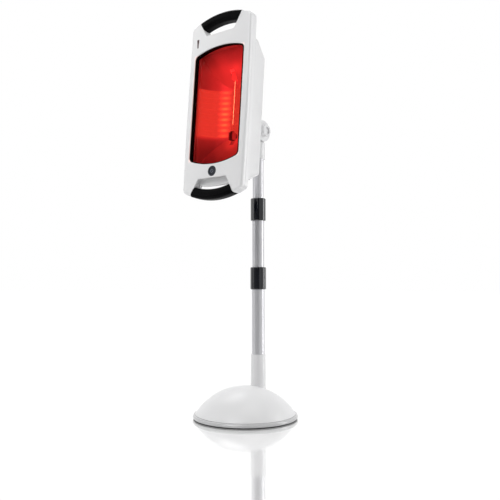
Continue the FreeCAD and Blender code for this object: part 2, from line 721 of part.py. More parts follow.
def base_weight():
    disc = move(rod("weight_radius", "weight_thick"), z=plate_top)
    head_room = move(rod("sink_radius", "sink_depth"), y="pole_offset", z=plate_top)
    shank_room = move(rod("bolt_radius + bolt_gap", "weight_thick"), y="pole_offset", z=plate_top)
    return node("base_weight", cut(disc, head_room, shank_room))


def base_screws():
    screws = []
    for degrees in SCREW_ANGLES:
        shank = around(rod("cover_screw", "cover_screw_reach"), "cover_screw_circle", degrees, plate_top)
        screws.append(joined(countersink(degrees), shank))
    return node("base_screws", grouped(*screws))


# --------------------------------------------------------------------- pole
def pole_socket():
    bore = "lower_radius + press_gap"
    rise = f"socket_top - ({weight_top})"
    return on_pole("pole_socket", turned_body([
        ("bolt_radius + bolt_gap", "0"), ("flange_radius", "0"), ("flange_radius", "flange_thick"),
        ("socket_foot_radius", "flange_thick"),
        ("socket_radius", f"{rise} - socket_round", "socket_round"),
        ("socket_radius - socket_round", rise), (bore, rise), (bore, "socket_floor"),
        ("bolt_radius + bolt_gap", "socket_floor")]), weight_top)


washer_bottom = f"{plate_top} + sink_depth - pole_washer_thick"


def pole_bolt():
    head = rod("bolt_head", "bolt_head_height")
    shank = rod("bolt_radius - press_gap", "pole_bolt_length")
    return on_pole("pole_bolt", joined(head, shank), f"{washer_bottom} - bolt_head_height")


def pole_washer():
    ring = cut(rod("pole_washer_radius", "pole_washer_thick"),
               rod("bolt_radius + bolt_gap", "pole_washer_thick"))
    return on_pole("pole_washer", ring, washer_bottom)


def tube_plug():
    plug = cut(rod("lower_radius - tube_wall - press_gap", "plug_height"), rod("bolt_radius", "plug_height"))
    return on_pole("tube_plug", plug, tube_foot)


def tube(label, radius, bottom, top):
    """A pole tube between two heights."""
    length = f"({top}) - ({bottom})"
    return on_pole(label, cut(rod(radius, length), rod(f"{radius} - tube_wall", length)), bottom)


def glide(label, own_radius, outer_radius, bottom):
    """Plastic ring under a sliding tube, with a spigot inside it."""
    reach = f"{outer_radius} - tube_wall - glide_gap"
    spigot = f"{own_radius} - tube_wall"
    return on_pole(label, turned_body([
        (f"{spigot} - glide_wall", "-glide_height"), (reach, "-glide_height"), (reach, "0"),
        (spigot, "0"), (spigot, "glide_height"), (f"{spigot} - glide_wall", "glide_height")]), bottom)


def twist_lock(prefix, own_radius, inner_radius, tube_top):
    """Ferrule and collet on a tube's mouth, and the collar that squeezes them."""
    grip = f"{own_radius} + ferrule_wall"
    ferrule = cut(rod(grip, "ferrule_length"), rod(own_radius, "ferrule_length"))
    on_pole(f"{prefix}_ferrule", ferrule, f"{tube_top} - ferrule_length")
    slit = block(("-collet_slit / 2", "collet_slit / 2"), ("0", "2 * lower_radius"), ("0", "collet_height"))
    ring = cut(rod(f"{grip} - collet_step", "collet_height"),
               rod(f"{inner_radius} + slide_gap", "collet_height"), slit)
    on_pole(f"{prefix}_collet", ring, tube_top)
    radius = f"{prefix}_collar_radius"
    length = f"{prefix}_collar_top - {prefix}_collar_bottom"
    room = f"{grip} + collar_room"
    foot_bore = f"{own_radius} + slide_gap"
    top_bore = f"{inner_radius} + slide_gap"
    on_pole(f"{prefix}_collar", turned_body([
        (foot_bore, "0"), (f"{radius} - collar_round", "0", "collar_round"),
        (radius, "collar_round"), (radius, f"{length} - collar_round", "collar_round"),
        (f"{radius} - collar_round", length), (top_bore, length),
        (top_bore, f"{length} - collar_cap"), (room, f"{length} - collar_cap"),
        (room, "collar_lip"), (foot_bore, "collar_lip")]), f"{prefix}_collar_bottom")


def pole_top():
    """Neck fitting: a cap that turns on the upper tube, with the hinge's tongue."""
    bore = "upper_radius + slide_gap"
    rise = "neck_top - neck_bottom"
    shoulder = "neck_shoulder - neck_bottom"
    ceiling = "upper_tube_top - neck_bottom + neck_round"
    cap = turned_body([
        (bore, "0"), ("neck_radius - neck_round", "0", "neck_round"), ("neck_radius", "neck_round"),
        ("neck_radius", shoulder, "neck_top - neck_shoulder"),
        ("neck_radius - (neck_top - neck_shoulder)", rise), ("0", rise), ("0", ceiling), (bore, ceiling)])
    axis = "hinge_height - neck_bottom"
    root = block(("-tongue_half", "tongue_half"), ("-tongue_root", "tongue_root"), (f"{shoulder} - 1", axis))
    eye = move(cross_rod("tongue_radius", "-tongue_half", "tongue_half"), x="-tongue_half", z=axis)
    hole = move(cross_rod("bolt_radius + bolt_gap", "-tongue_half", "tongue_half"),
                x="-tongue_half", z=axis)
    return on_pole("pole_top", cut(joined(cap, root, eye), hole), "neck_bottom")


def friction_washers():
    rings = []
    for start, end in (("tongue_half", "washer_half"), ("-washer_half", "-tongue_half")):
        hole = cross_rod("bolt_radius + bolt_gap", start, end)
        rings.append(cut(cross_rod("washer_radius", start, end), hole))
    return on_pole("friction_washers", grouped(*rings), "hinge_height")


# ------------------------------------------------------------------ bracket
recess_floor = "hub_outer - recess_depth"


def at_hinge(obj, x="0"):
    """Put a piece of the face frame on the tilt axis."""
    return move(obj, x, "face_reach", "-window_rise")


def bracket_places():
    """Across and height of the four screws that hold the bracket."""
    return [(f"{x}bracket_screw_across", f"{z}bracket_screw_rise") for x in ("", "-") for z in ("", "-")]


def bracket_rod(radius, front, back, place):
    """A cylinder along Y at one of the bracket's screw places."""
    return move(deep_rod(radius, front, back), place[0], front, f"-window_rise + ({place[1]})")


def head_bracket():
    plate = block(("-plate_half", "plate_half"), ("hump_back", "plate_back"),
                  ("-window_rise - plate_side", "-window_rise + plate_side"))
    reach = "hinge_radius * cos(45 deg)"
    arm = side_pad([
        ("plate_back - 1", "-window_rise - arm_foot"),
        ("face_reach - arm_waist_reach", "-window_rise - arm_waist"),
        (f"face_reach - {reach}", f"-window_rise - {reach}"), ("face_reach", "-window_rise"),
        ("face_reach", "-window_rise + hinge_radius"), ("plate_back - 1", "-window_rise + arm_head")],
        "cheek_outer")
    disc = at_hinge(cross_rod("hinge_radius", "-cheek_outer", "cheek_outer"), "-cheek_outer")
    cheek = number("cheek_outer")
    body = rounded(joined(arm, disc), "bracket_round",
                   lambda edge: level(edge, "x", cheek) or level(edge, "x", -cheek))
    fork = block(("-cheek_inner", "cheek_inner"), ("face_reach - fork_reach", "face_reach + fork_room"),
                 ("-window_rise - fork_room", "-window_rise + fork_room"))
    bolt_hole = at_hinge(cross_rod("bolt_radius", "-cheek_outer", "cheek_outer"), "-cheek_outer")
    holes = [bracket_rod("bracket_screw", "hump_back", "plate_back", place) for place in bracket_places()]
    return in_head("head_bracket", cut(joined(body, plate), fork, bolt_hole, *holes))


def hinge_hubs():
    """A round hub on each cheek; the bolt's head and nut sit in its recess."""
    hubs = []
    rim = number("hub_outer")
    for start, end, floor, face in (("cheek_outer", "hub_outer", recess_floor, "hub_outer"),
                                    ("-hub_outer", "-cheek_outer", "-hub_outer", f"-({recess_floor})")):
        hub = rounded(at_hinge(cross_rod("hub_radius", start, end), start), "hub_round",
                      lambda edge: level(edge, "x", rim) or level(edge, "x", -rim))
        recess = at_hinge(cross_rod("recess_radius", floor, face), floor)
        bore = at_hinge(cross_rod("bolt_radius", start, end), start)
        hubs.append(cut(hub, recess, bore))
    return in_head("hinge_hubs", grouped(*hubs))


def bracket_screws():
    screws = []
    head_top = "plate_back + bracket_screw_height"
    for place in bracket_places():
        head = bracket_rod("bracket_screw_head", "plate_back", head_top, place)
        shank = bracket_rod("bracket_screw - press_gap", "hump_back - bracket_screw_reach",
                            "plate_back + 1", place)
        drive = bracket_rod("drive_radius", f"{head_top} - drive_depth", head_top, place)
        screws.append(cut(joined(head, shank), drive))
    return in_head("bracket_screws", grouped(*screws))


def hinge_bolt():
    tip = f"-({recess_floor}) - nut_height - slide_gap"
    shank = at_hinge(cross_rod("bolt_radius - press_gap", tip, recess_floor), tip)
    head = at_hinge(cross_rod("hinge_head", recess_floor, f"{recess_floor} + hinge_head_height"),
                    recess_floor)
    return in_head("hinge_bolt", joined(shank, head))


def hinge_nut():
    nut = doc.addObject("Part::Prism", fresh("Nut"))
    nut.Polygon = 6
    bind(nut, Circumradius="nut_radius", Height="nut_height")
    start = f"-({recess_floor}) - nut_height"
    at_hinge(turned(nut, Vector(0, 1, 0), 90), start)
    hole = at_hinge(cross_rod("bolt_radius", start, f"-({recess_floor})"), start)
    return in_head("hinge_nut", cut(nut, hole))


def hinge_caps():
    caps = []
    for sign, start in (("", "hub_outer - cap_sunk - cap_thick"), ("-", "cap_sunk - hub_outer")):
        disc = at_hinge(cross_rod("cap_radius", "0", "cap_thick"), start)
        crown = bind(doc.addObject("Part::Sphere", fresh("Crown")), Radius="cap_crown")
        at_hinge(crown, f"{sign}(hub_outer - cap_sunk + cap_rise - cap_crown)")
        caps.append(shared(disc, crown))
    return in_head("hinge_caps", grouped(*caps))


# --------------------------------------------------------------- head shells
def vertical_corner(edge):
    """An edge along Y at the outline's corners."""
    return along(edge, "y") and abs(edge.BoundBox.XMin) > number("head_half_width - 1")


def slot_corner(edge):
    """An edge along Y where a slot's floor meets its flared end."""
    box = edge.BoundBox
    return (along(edge, "y") and abs(abs(box.XMin) - number("slot_half")) < 0.5
            and abs(abs(box.ZMin) - number("slot_floor")) < 0.5)


def window_corner(edge):
    """An edge along Y at the window's corners."""
    return along(edge, "y") and abs(abs(edge.BoundBox.XMin) - number("window_half")) < 0.01


def window_rim(edge):
    """An edge of the window on the front face."""
    box = edge.BoundBox
    return (level(edge, "y", 0.0) and box.XMax < number("window_half + 1")
            and box.XMin > -number("window_half + 1") and abs(box.ZMax) < number("slot_floor - 5"))


def handle_core(body, sign, ends, front, back):
    """Arched bar inside a grip, from one side arm to the other."""
    return front_pad(body, band_outline(sign, "crown_radius - core_gap",
                                        "crown_radius - grip_height + core_gap", ends), front, back)


def shell_places():
    """Across and height of the four screws that join the shells."""
    return [(f"{x}shell_screw_across", f"{z}shell_screw_rise") for x in ("", "-") for z in ("", "-")]


def ear_places():
    """Across and height of the four screws that hold the inner frame."""
    return [(f"{x}ear_across", f"{z}ear_rise") for x in ("", "-") for z in ("", "-")]


def place_rod(radius, front, back, place):
    """A cylinder along Y at a place on the face."""
    return move(deep_rod(radius, front, back), place[0], front, place[1])


frame_front = "glass_front + glass_thick + gasket_back"


def front_shell():
    body = new_body()
    front_pad(body, face_outline(), "0", "front_depth")
    fillet(body, "corner_radius", vertical_corner)
    fillet(body, "face_round", lambda edge: level(edge, "y", 0.0))
    fillet(body, "seam_round", lambda edge: level(edge, "y", number("front_depth")))
    front_pocket(body, window_outline(), "0", "front_depth")
    fillet(body, "window_corner", window_corner)
    fillet(body, "window_round", window_rim)
    half = "cavity_half"
    top = "slot_floor - shell_wall"
    front_pocket(body, [(f"-{half}", f"-({top})"), (half, f"-({top})"), (half, top),
                        (f"-{half}", top)], "shell_wall", "front_depth")
    for sign in ("", "-"):
        front_pocket(body, slot_outline(sign), "0", "front_depth")
    fillet(body, "slot_corner", slot_corner)
    for sign in ("", "-"):
        handle_core(body, sign, "core_root", "core_front", "front_depth")
    posts = [place_rod("ear_post", "shell_wall - 1", frame_front, place) for place in ear_places()]
    posts += [place_rod("switch_post", "shell_wall - 1", "switch_front", (x, "-button_drop"))
              for x in ("-switch_post_across", "switch_post_across")]
    holes = [place_rod("ear_screw", "shell_wall", frame_front, place) for place in ear_places()]
    holes += [place_rod("shell_screw", "shell_screw_tip", "front_depth", place) for place in shell_places()]
    holes.append(place_rod("button_hole", "0", "front_depth", ("0", "-button_drop")))
    holes.append(indicator_prism("press_gap", "0", "shell_wall"))
    return in_head("front_shell", cut(joined(body, *posts), *holes))


def indicator_prism(margin, front, back):
    """Slim wedge of the pilot light."""
    body = new_body()
    low = f"indicator_rise - indicator_half - {margin}"
    high = f"indicator_rise + indicator_half + {margin}"
    foot = f"indicator_foot + {margin}"
    head = f"indicator_head + {margin}"
    front_pad(body, [(f"-indicator_across - ({foot})", low), (f"{foot} - indicator_across", low),
                     (f"{head} - indicator_across", high), (f"-indicator_across - ({head})", high)],
              front, back)
    return body


def housing(inset, front):
    """The rear housing's box, shrunk by an inset: side profile and belly arc.

    The sloping roof moves in by half the inset at its corners.
    """
    side = side_pad([
        (front, f"-box_floor_front + ({inset})"), ("box_floor_break", f"-box_floor_front + ({inset})"),
        (f"box_back - ({inset})", f"-box_floor_back + ({inset})"),
        (f"box_back - ({inset})", f"box_roof_back - ({inset}) / 2"),
        (f"box_roof_break - ({inset}) / 2", f"box_roof_break_height - ({inset})"),
        (front, f"box_roof_front - ({inset})")], f"box_half - ({inset})")
    fillet(side, f"box_round - ({inset})", lambda edge: (
        edge.BoundBox.YMin > number("flange_depth + 1")
        or (edge.BoundBox.YLength > 1 and edge.BoundBox.YMax > number("flange_depth + 2"))))
    belly = new_body()
    half = f"box_half + 1 - ({inset})"
    low = f"box_floor_front - ({inset}) - box_belly_radius + sqrt(box_belly_radius ^ 2 - ({half}) ^ 2)"
    front_pad(belly, [(f"-({half})", f"-({low})", "box_belly_radius"), (half, f"-({low})"),
                      (half, "box_roof_front"), (f"-({half})", "box_roof_front")],
              f"({front}) - 1", "box_back + 1")
    return shared(side, belly)


def hump(inset):
    """The raised middle of the housing's back."""
    body = new_body()
    half = f"hump_half - ({inset})"
    side = f"hump_side - ({inset})"
    front_pad(body, [(f"-({half})", f"-({side})"), (half, f"-({side})"), (half, side),
                     (f"-({half})", side)], "box_back - hump_root", f"hump_back - ({inset})")
    fillet(body, f"hump_round - ({inset})", lambda edge: (
        edge.BoundBox.YMax > number(f"hump_back - ({inset}) - 0.1")))
    return body


def rear_flange():
    """The rear shell's flange behind the face, with the handle slots cut out."""
    flange = new_body()
    front_pad(flange, face_outline(), "front_depth", "flange_depth")
    fillet(flange, "corner_radius", vertical_corner)
    fillet(flange, "back_round", lambda edge: level(edge, "y", number("flange_depth")))
    fillet(flange, "seam_round", lambda edge: level(edge, "y", number("front_depth")))
    slots = []
    for sign in ("", "-"):
        slot = new_body()
        front_pad(slot, slot_outline(sign), "front_depth - 1", "flange_depth + 1")
        fillet(slot, "slot_corner", slot_corner)
        slots.append(slot)
    return cut(flange, *slots)


def rear_shell():
    cores = []
    for sign in ("", "-"):
        core = new_body()
        handle_core(core, sign, "core_root", "front_depth", "core_back")
        cores.append(core)
    bosses = [bracket_rod("bracket_boss", "hump_back - bracket_boss_length", "hump_back - 1", place)
              for place in bracket_places()]
    outer = joined(rear_flange(), housing("0", "front_depth + 1"), hump("0"), *cores)
    hollow = joined(housing("shell_wall", "front_depth - 1"), hump("shell_wall"))
    screen = shared(housing("0", "front_depth + 1"),
                    block(("-box_half", "box_half"), ("front_depth + 1", "front_depth + 1 + shell_wall"),
                          ("-box_floor_front - 1", "shell_wall - slot_floor")))
    holes = [bracket_rod("bracket_screw", "hump_back - bracket_boss_length - 1", "hump_back", place)
             for place in bracket_places()]
    for place in shell_places():
        holes.append(place_rod("shell_screw_hole", "front_depth", "flange_depth", place))
        holes.append(place_rod("shell_screw_sink", head_floor, "flange_depth", place))
    holes += vents()
    holes.append(gland_rod("gland_neck + press_gap", "-gland_flange_drop", "gland_flange_drop"))
    return in_head("rear_shell", cut(joined(cut(outer, hollow), screen, *bosses), *holes))


def vents():
    """Louvre slots in the sloping roof and in the floor of the housing."""
    slots = []
    for step in range(4):
        front = f"vent_start + {step} * vent_pitch"
        slots.append(block(("-roof_vent_half", "roof_vent_half"), (front, f"{front} + vent_width"),
                           ("box_roof_back - 2 * box_round", "box_roof_front")))
        slots.append(block(("-floor_vent_half", "floor_vent_half"),
                           (f"{front} - floor_vent_step", f"{front} - floor_vent_step + vent_width"),
                           ("-box_floor_front - 1", "-box_floor_back + box_round")))
    return slots


def gland_rod(radius, low, high):
    """An upright cylinder through the housing's floor, where the cord enters."""
    return move(rod(radius, f"({high}) - ({low})"), "gland_across", "gland_depth", f"({low}) - gland_drop")


def cord_gland():
    collar = gland_rod("gland_flange", "-gland_flange_drop", "0")
    neck = gland_rod("gland_neck", "-gland_flange_drop", "gland_reach")
    bore = gland_rod("gland_bore", "-gland_flange_drop", "gland_reach")
    return in_head("cord_gland", cut(joined(cut(collar, housing("0", "front_depth + 1")), neck), bore))


head_floor = "flange_depth - bracket_screw_height"


def shell_screws():
    screws = []
    head_top = "flange_depth - shell_screw_sunk"
    for place in shell_places():
        head = place_rod("shell_screw_head", head_floor, head_top, place)
        shank = place_rod("shell_screw", "shell_screw_tip + 1", f"{head_floor} + 1", place)
        drive = place_rod("drive_radius", f"{head_top} - drive_depth", head_top, place)
        screws.append(cut(joined(head, shank), drive))
    return in_head("shell_screws", grouped(*screws))


def hand_grip(label, sign):
    """Soft grip around a handle's core."""
    body = new_body()
    front_pad(body, band_outline(sign, "crown_radius + grip_over", "crown_radius - grip_height", "0"),
              "-grip_proud", "flange_depth + grip_proud")
    fillet(body, "grip_round", lambda edge: (
        edge.BoundBox.XLength > number("slot_half") and edge.BoundBox.YLength < 0.01))
    core = new_body()
    handle_core(core, sign, "grip_root", "core_front", "core_back")
    return in_head(label, cut(body, core))


# -------------------------------------------------------------------- optics
def outline_pad(outline, front, back):
    """A plain body with a front-view outline, between two depths."""
    body = new_body()
    front_pad(body, outline, front, back)
    return body


def filter_glass():
    body = outline_pad(window_outline("glass_margin"), "glass_front", "glass_front + glass_thick")
    return in_head("filter_glass", body)


def glass_gasket():
    rubber = outline_pad(window_outline("glass_margin + gasket_edge"), "shell_wall", frame_front)
    sight = outline_pad(window_outline("gasket_lip"), "shell_wall", frame_front)
    seat = outline_pad(window_outline("glass_margin"), "glass_front", "glass_front + glass_thick")
    return in_head("glass_gasket", cut(rubber, sight, seat))


def lamp_frame():
    """Black steel frame that clamps the glass and shades the edge of the lamp room."""
    flange_back = f"{frame_front} + frame_wall"
    wall = outline_pad(window_outline("gasket_lip + frame_wall"), frame_front, "frame_back")
    flange = outline_pad(window_outline("frame_edge"), frame_front, flange_back)
    room = outline_pad(window_outline("gasket_lip"), frame_front, "frame_back")
    ears = []
    for x, z in ear_places():
        root = "-window_side" if z.startswith("-") else "window_side"
        tip = f"{z} - ear_half" if z.startswith("-") else f"{z} + ear_half"
        low, high = (tip, root) if z.startswith("-") else (root, tip)
        ears.append(block((f"{x} - ear_half", f"{x} + ear_half"), (frame_front, flange_back), (low, high)))
    holes = [place_rod("ear_screw + press_gap", frame_front, flange_back, place) for place in ear_places()]
    return in_head("lamp_frame", cut(joined(wall, flange, *ears), room, *holes))


def frame_screws():
    screws = []
    seat = f"{frame_front} + frame_wall"
    head_top = f"{seat} + ear_screw_height"
    for place in ear_places():
        head = place_rod("ear_screw_head", seat, head_top, place)
        shank = place_rod("ear_screw - press_gap", "shell_wall + 1", f"{seat} + 1", place)
        screws.append(joined(head, shank))
    return in_head("frame_screws", grouped(*screws))


trough_centre = ("(reflector_back - (reflector_half ^ 2 + (reflector_back - reflector_front) ^ 2)"
                 " / (2 * (reflector_back - reflector_front)))")


def reflector_room(grow):
    """Space inside the reflector, grown outwards by an amount."""
    arc = f"(reflector_back - {trough_centre} + ({grow}))"
    mouth = f"sqrt({arc} ^ 2 - (reflector_front - {trough_centre}) ^ 2)"
    trough = new_body()
    section = sketch(trough, "XY_Plane", [(f"-{mouth}", "reflector_front"),
                                          (mouth, "reflector_front", arc)])
    feature(trough, "Pad", section, Length="2 * reflector_side + 10").Midplane = True
    side = f"reflector_side + ({grow})"
    flat = f"reflector_flat + ({grow})"
    ends = side_pad([
        ("reflector_front - 1", f"-({side})"), ("reflector_front", f"-({side})"),
        ("reflector_back + 2", f"-({flat})"), ("reflector_back + 2", flat),
        ("reflector_front", side), ("reflector_front - 1", side)], "reflector_half + 10")
    return shared(trough, ends)


def reflector():
    sheet_metal = cut(reflector_room("reflector_wall"), reflector_room("0"))
    slabs = []
    for step in range(-4, 5):
        middle = f"{step} * rib_pitch"
        slabs.append(block(("-reflector_half", "reflector_half"), ("reflector_front", "reflector_back + 1"),
                           (f"{middle} - rib_height / 2", f"{middle} + rib_height / 2")))
    band = cut(reflector_room("rib_root"), reflector_room("-rib_rise"))
    tabs = [block((low, high), ("reflector_front", "reflector_front + reflector_wall"),
                  ("-reflector_tab", "reflector_tab"))
            for low, high in (("reflector_half", "box_half - shell_wall"),
                              ("shell_wall - box_half", "-reflector_half"))]
    half = "socket_block / 2 + holder_room"
    holes = [block((f"-({half})", half), ("reflector_front + 1", "reflector_back + 2"), span)
             for span in (("upper_hole_foot", "upper_hole_top"), ("-lower_hole_foot", "-lower_hole_top"))]
    shell = joined(sheet_metal, shared(band, joined(*slabs)), *tabs)
    return in_head("reflector", cut(shell, *holes))


def lamp_rod(radius, low, high):
    """A piece on the upright lamp's axis, between two heights."""
    return move(rod(radius, f"({high}) - ({low})"), "0", "lamp_depth", low)


def both_ends(start, length):
    """Spans at both ends of the lamp, from a distance past the quartz tube."""
    near = f"lamp_half + {start}"
    far = f"{near} + {length}"
    return [(f"lamp_rise + {near}", f"lamp_rise + {far}"), (f"lamp_rise - ({far})", f"lamp_rise - ({near})")]


lamp_foot = "lamp_rise - lamp_half"
lamp_top = "lamp_rise + lamp_half"


def lamp_tube():
    quartz = lamp_rod("lamp_radius", lamp_foot, lamp_top)
    bore = lamp_rod("lamp_radius - quartz_wall", lamp_foot, lamp_top)
    return in_head("lamp_tube", cut(quartz, bore))


def lamp_filament():
    coil = lamp_rod("coil_radius", f"{lamp_foot} + coil_margin", f"{lamp_top} - coil_margin")
    return in_head("lamp_filament", joined(coil, lamp_rod("wire_radius", lamp_foot, lamp_top)))


def lamp_caps():
    caps = [lamp_rod("lamp_radius + cap_step", *span) for span in both_ends("0", "cap_length")]
    return in_head("lamp_caps", grouped(*caps))


def lamp_holders():
    """Ceramic holders that carry the lamp's two ends, each with its foot on the heat shield."""
    holders = []
    half = "socket_block / 2"
    bodies = both_ends("holder_start", "holder_length")
    feet = both_ends("holder_foot_start", "holder_foot_length")
    wells = both_ends("0", "cap_length")
    for body_span, foot_span, well_span in zip(bodies, feet, wells):
        brick = block((f"-{half}", half), (f"lamp_depth - {half}", f"lamp_depth + {half}"), body_span)
        foot = block(("-holder_foot", "holder_foot"), ("lamp_depth", "shield_depth"), foot_span)
        holders.append(cut(joined(brick, foot), lamp_rod("lamp_radius + cap_step", *well_span)))
    return in_head("lamp_holders", grouped(*holders))


def heat_shield():
    back = "shield_depth + shield_thick"
    sheet_metal = block(("-shield_half", "shield_half"), ("shield_depth", back),
                        ("-shield_side", "shield_side"))
    legs = []
    for across in (("shield_inset - shield_half", "shield_inset + shield_leg - shield_half"),
                   ("shield_half - shield_inset - shield_leg", "shield_half - shield_inset")):
        for rise in (("shield_inset - shield_side", "shield_inset + shield_leg - shield_side"),
                     ("shield_side - shield_inset - shield_leg", "shield_side - shield_inset")):
            legs.append(block(across, (back, "hump_back - shell_wall"), rise))
    return in_head("heat_shield", joined(sheet_metal, *legs))


# -------------------------------------------------------------------- wiring
housing_back = "box_back - shell_wall"
cutout_front = f"{housing_back} - cutout_height"


def tab_pair(middle, front, back, rise):
    """Two solder tabs beside a device's middle."""
    tabs = []
    for sign in ("-", "+"):
        tab = f"{middle} {sign} tab_across"
        tabs.append(block((f"{tab} - tab_half", f"{tab} + tab_half"), (front, back),
                          (f"{rise} - tab_half / 2", f"{rise} + tab_half / 2")))
    return tabs


def thermal_cutout():
    disc = place_rod("cutout_radius", cutout_front, housing_back, ("-cutout_across", "-cutout_drop"))
    tabs = tab_pair("-cutout_across", f"{cutout_front} - tab_reach", cutout_front, "-cutout_drop")
    return in_head("thermal_cutout", joined(disc, *tabs))


def clamp_across(index):
    """Middle of one of the terminal block's three clamps."""
    return f"block_left + clamp_margin + {index} * clamp_pitch"


def terminal_block():
    span = ("block_left", "block_left + block_length")
    brick = block(span, ("block_front", "block_back"),
                  ("-block_drop - block_half", "block_half - block_drop"))
    foot = block(span, ("block_back", housing_back),
                 ("-block_drop - block_foot", "block_foot - block_drop"))
    wells = [place_rod("clamp_radius", "block_front", "block_front + clamp_depth",
                       (clamp_across(index), "-block_drop")) for index in range(3)]
    return in_head("terminal_block", joined(cut(brick, *wells), foot))


def lead(points):
    """An insulated lead through the points, its corners rounded to one bend radius."""
    corners = [Vector(*(number(value) for value in point)) for point in points]
    bend = number("lead_bend")
    edges = []
    start = corners[0]
    for before, corner, after in zip(corners, corners[1:], corners[2:]):
        into = (corner - before).normalize()
        out = (after - corner).normalize()
        half = into.getAngle(out) / 2
        first = corner - into * (bend * math.tan(half))
        last = corner + out * (bend * math.tan(half))
        middle = corner + (out - into).normalize() * (bend / math.cos(half) - bend)
        edges.append(Part.LineSegment(start, first).toShape())
        edges.append(Part.Arc(first, middle, last).toShape())
        start = last
    edges.append(Part.LineSegment(start, corners[-1]).toShape())
    heading = corners[1] - corners[0]
    ring = Part.Wire(Part.Circle(corners[0], heading, number("lead_radius")).toShape())
    return Part.Wire(edges).makePipeShell([ring], True, True)


def leads(label, *routes):
    """A node of several leads, each a route of points."""
    wires = doc.addObject("Part::Feature", fresh("Leads"))
    wires.Shape = Part.makeCompound([lead(points) for points in routes])
    return in_head(label, wires)


block_middle = "(block_front + block_back) / 2"


def lamp_leads():
    """Block to the lamp's top; lamp's foot to the cut-out; cut-out back to the block."""
    holder_end = "lamp_half + holder_start + holder_length"
    block_top = "block_half - block_drop"
    tab = f"{cutout_front} - tab_reach"
    tab_left = "-cutout_across - tab_across"
    tab_right = "tab_across - cutout_across"
    upper = [("0", "lamp_depth", f"lamp_rise + {holder_end}"), ("0", "lamp_depth", "lead_turn"),
             ("lead_side", "lamp_depth", "lead_turn"), ("lead_side", "lamp_depth", "-lead_drop"),
             (clamp_across(1), block_middle, "-lead_drop"), (clamp_across(1), block_middle, block_top)]
    lower = [("0", "lamp_depth", f"lamp_rise - ({holder_end})"), ("0", "lamp_depth", "-lead_turn"),
             (tab_left, block_middle, "-lead_drop + lead_radius * 4"),
             (tab_left, "block_front - lead_bend", "-cutout_drop"), (tab_left, tab, "-cutout_drop")]
    back = [(tab_right, tab, "-cutout_drop"), (tab_right, "block_front", "-cutout_drop"),
            ("-lead_bend * 3", "block_front", "-lead_drop"), (clamp_across(0), block_middle, "-lead_drop"),
            (clamp_across(0), block_middle, block_top)]
    return leads("lamp_leads", upper, lower, back)


def switch_leads():
    """Both leads of the switch, to the foot of the terminal block."""
    start = "switch_back + tab_reach"
    block_foot = "-block_drop - block_half"
    first = [("tab_across", start, "-button_drop"), ("tab_across", block_middle, "-button_drop"),
             (clamp_across(0), block_middle, "-button_drop"), (clamp_across(0), block_middle, block_foot)]
    deep = "block_back + lead_bend"
    second = [("-tab_across", start, "-button_drop"), ("-tab_across", deep, "-button_drop"),
              (clamp_across(1), deep, "-button_drop"), (clamp_across(1), block_middle, "-button_drop"),
              (clamp_across(1), block_middle, block_foot)]
    return leads("switch_leads", first, second)


# ------------------------------------------------------------------ controls
def power_button():
    cap = place_rod("button_radius", "-button_proud", "button_back", ("0", "-button_drop"))
    stem = place_rod("stem_radius", "button_back - 1", "stem_back", ("0", "-button_drop"))
    lug_front = "shell_wall + lug_gap"
    lugs = block(("-lug_reach", "lug_reach"), (lug_front, f"{lug_front} + lug_thick"),
                 ("-button_drop - lug_half", "lug_half - button_drop"))
    soft = rounded(cap, "button_round", lambda edge: level(edge, "y", -number("button_proud")))
    return in_head("power_button", joined(soft, stem, lugs))


def switch_body():
    rise = ("-button_drop - switch_side", "switch_side - button_drop")
    brick = block(("-switch_half", "switch_half"), ("switch_front", "switch_back"), rise)
    plate = block(("-switch_plate_half", "switch_plate_half"),
                  ("switch_front", "switch_front + switch_plate"),
                  ("-button_drop - switch_plate_side", "switch_plate_side - button_drop"))
    tabs = tab_pair("0", "switch_back", "switch_back + tab_reach", "-button_drop")
    return in_head("switch_body", joined(brick, plate, *tabs))


def indicator_lens():
    lens = indicator_prism("0", "-indicator_proud", "shell_wall + indicator_proud")
    return in_head("indicator_lens", lens)


# --------------------------------------------------------------------- build
for make in (foot_pad, base_plate, base_rim, base_cover, base_weight, base_screws,
             pole_socket, pole_bolt, pole_washer, tube_plug):
    make()
tube("lower_tube", "lower_radius", tube_foot, "lower_tube_top")
twist_lock("lower", "lower_radius", "middle_radius", "lower_tube_top")
tube("middle_tube", "middle_radius", "middle_tube_bottom", "middle_tube_top")
glide("middle_glide", "middle_radius", "lower_radius", "middle_tube_bottom")
twist_lock("upper", "middle_radius", "upper_radius", "middle_tube_top")
tube("upper_tube", "upper_radius", "upper_tube_bottom", "upper_tube_top")
glide("upper_glide", "upper_radius", "middle_radius", "upper_tube_bottom")
for make in (pole_top, friction_washers, head_bracket, hinge_hubs, bracket_screws, hinge_bolt, hinge_nut,
             hinge_caps, front_shell, rear_shell, cord_gland, shell_screws):
    make()
hand_grip("upper_grip", "")
hand_grip("lower_grip", "-")
for make in (filter_glass, glass_gasket, lamp_frame, frame_screws, reflector, lamp_tube, lamp_filament,
             lamp_caps, lamp_holders, heat_shield, thermal_cutout, terminal_block, lamp_leads,
             switch_leads, power_button, switch_body, indicator_lens):
    make()
doc.recompute()

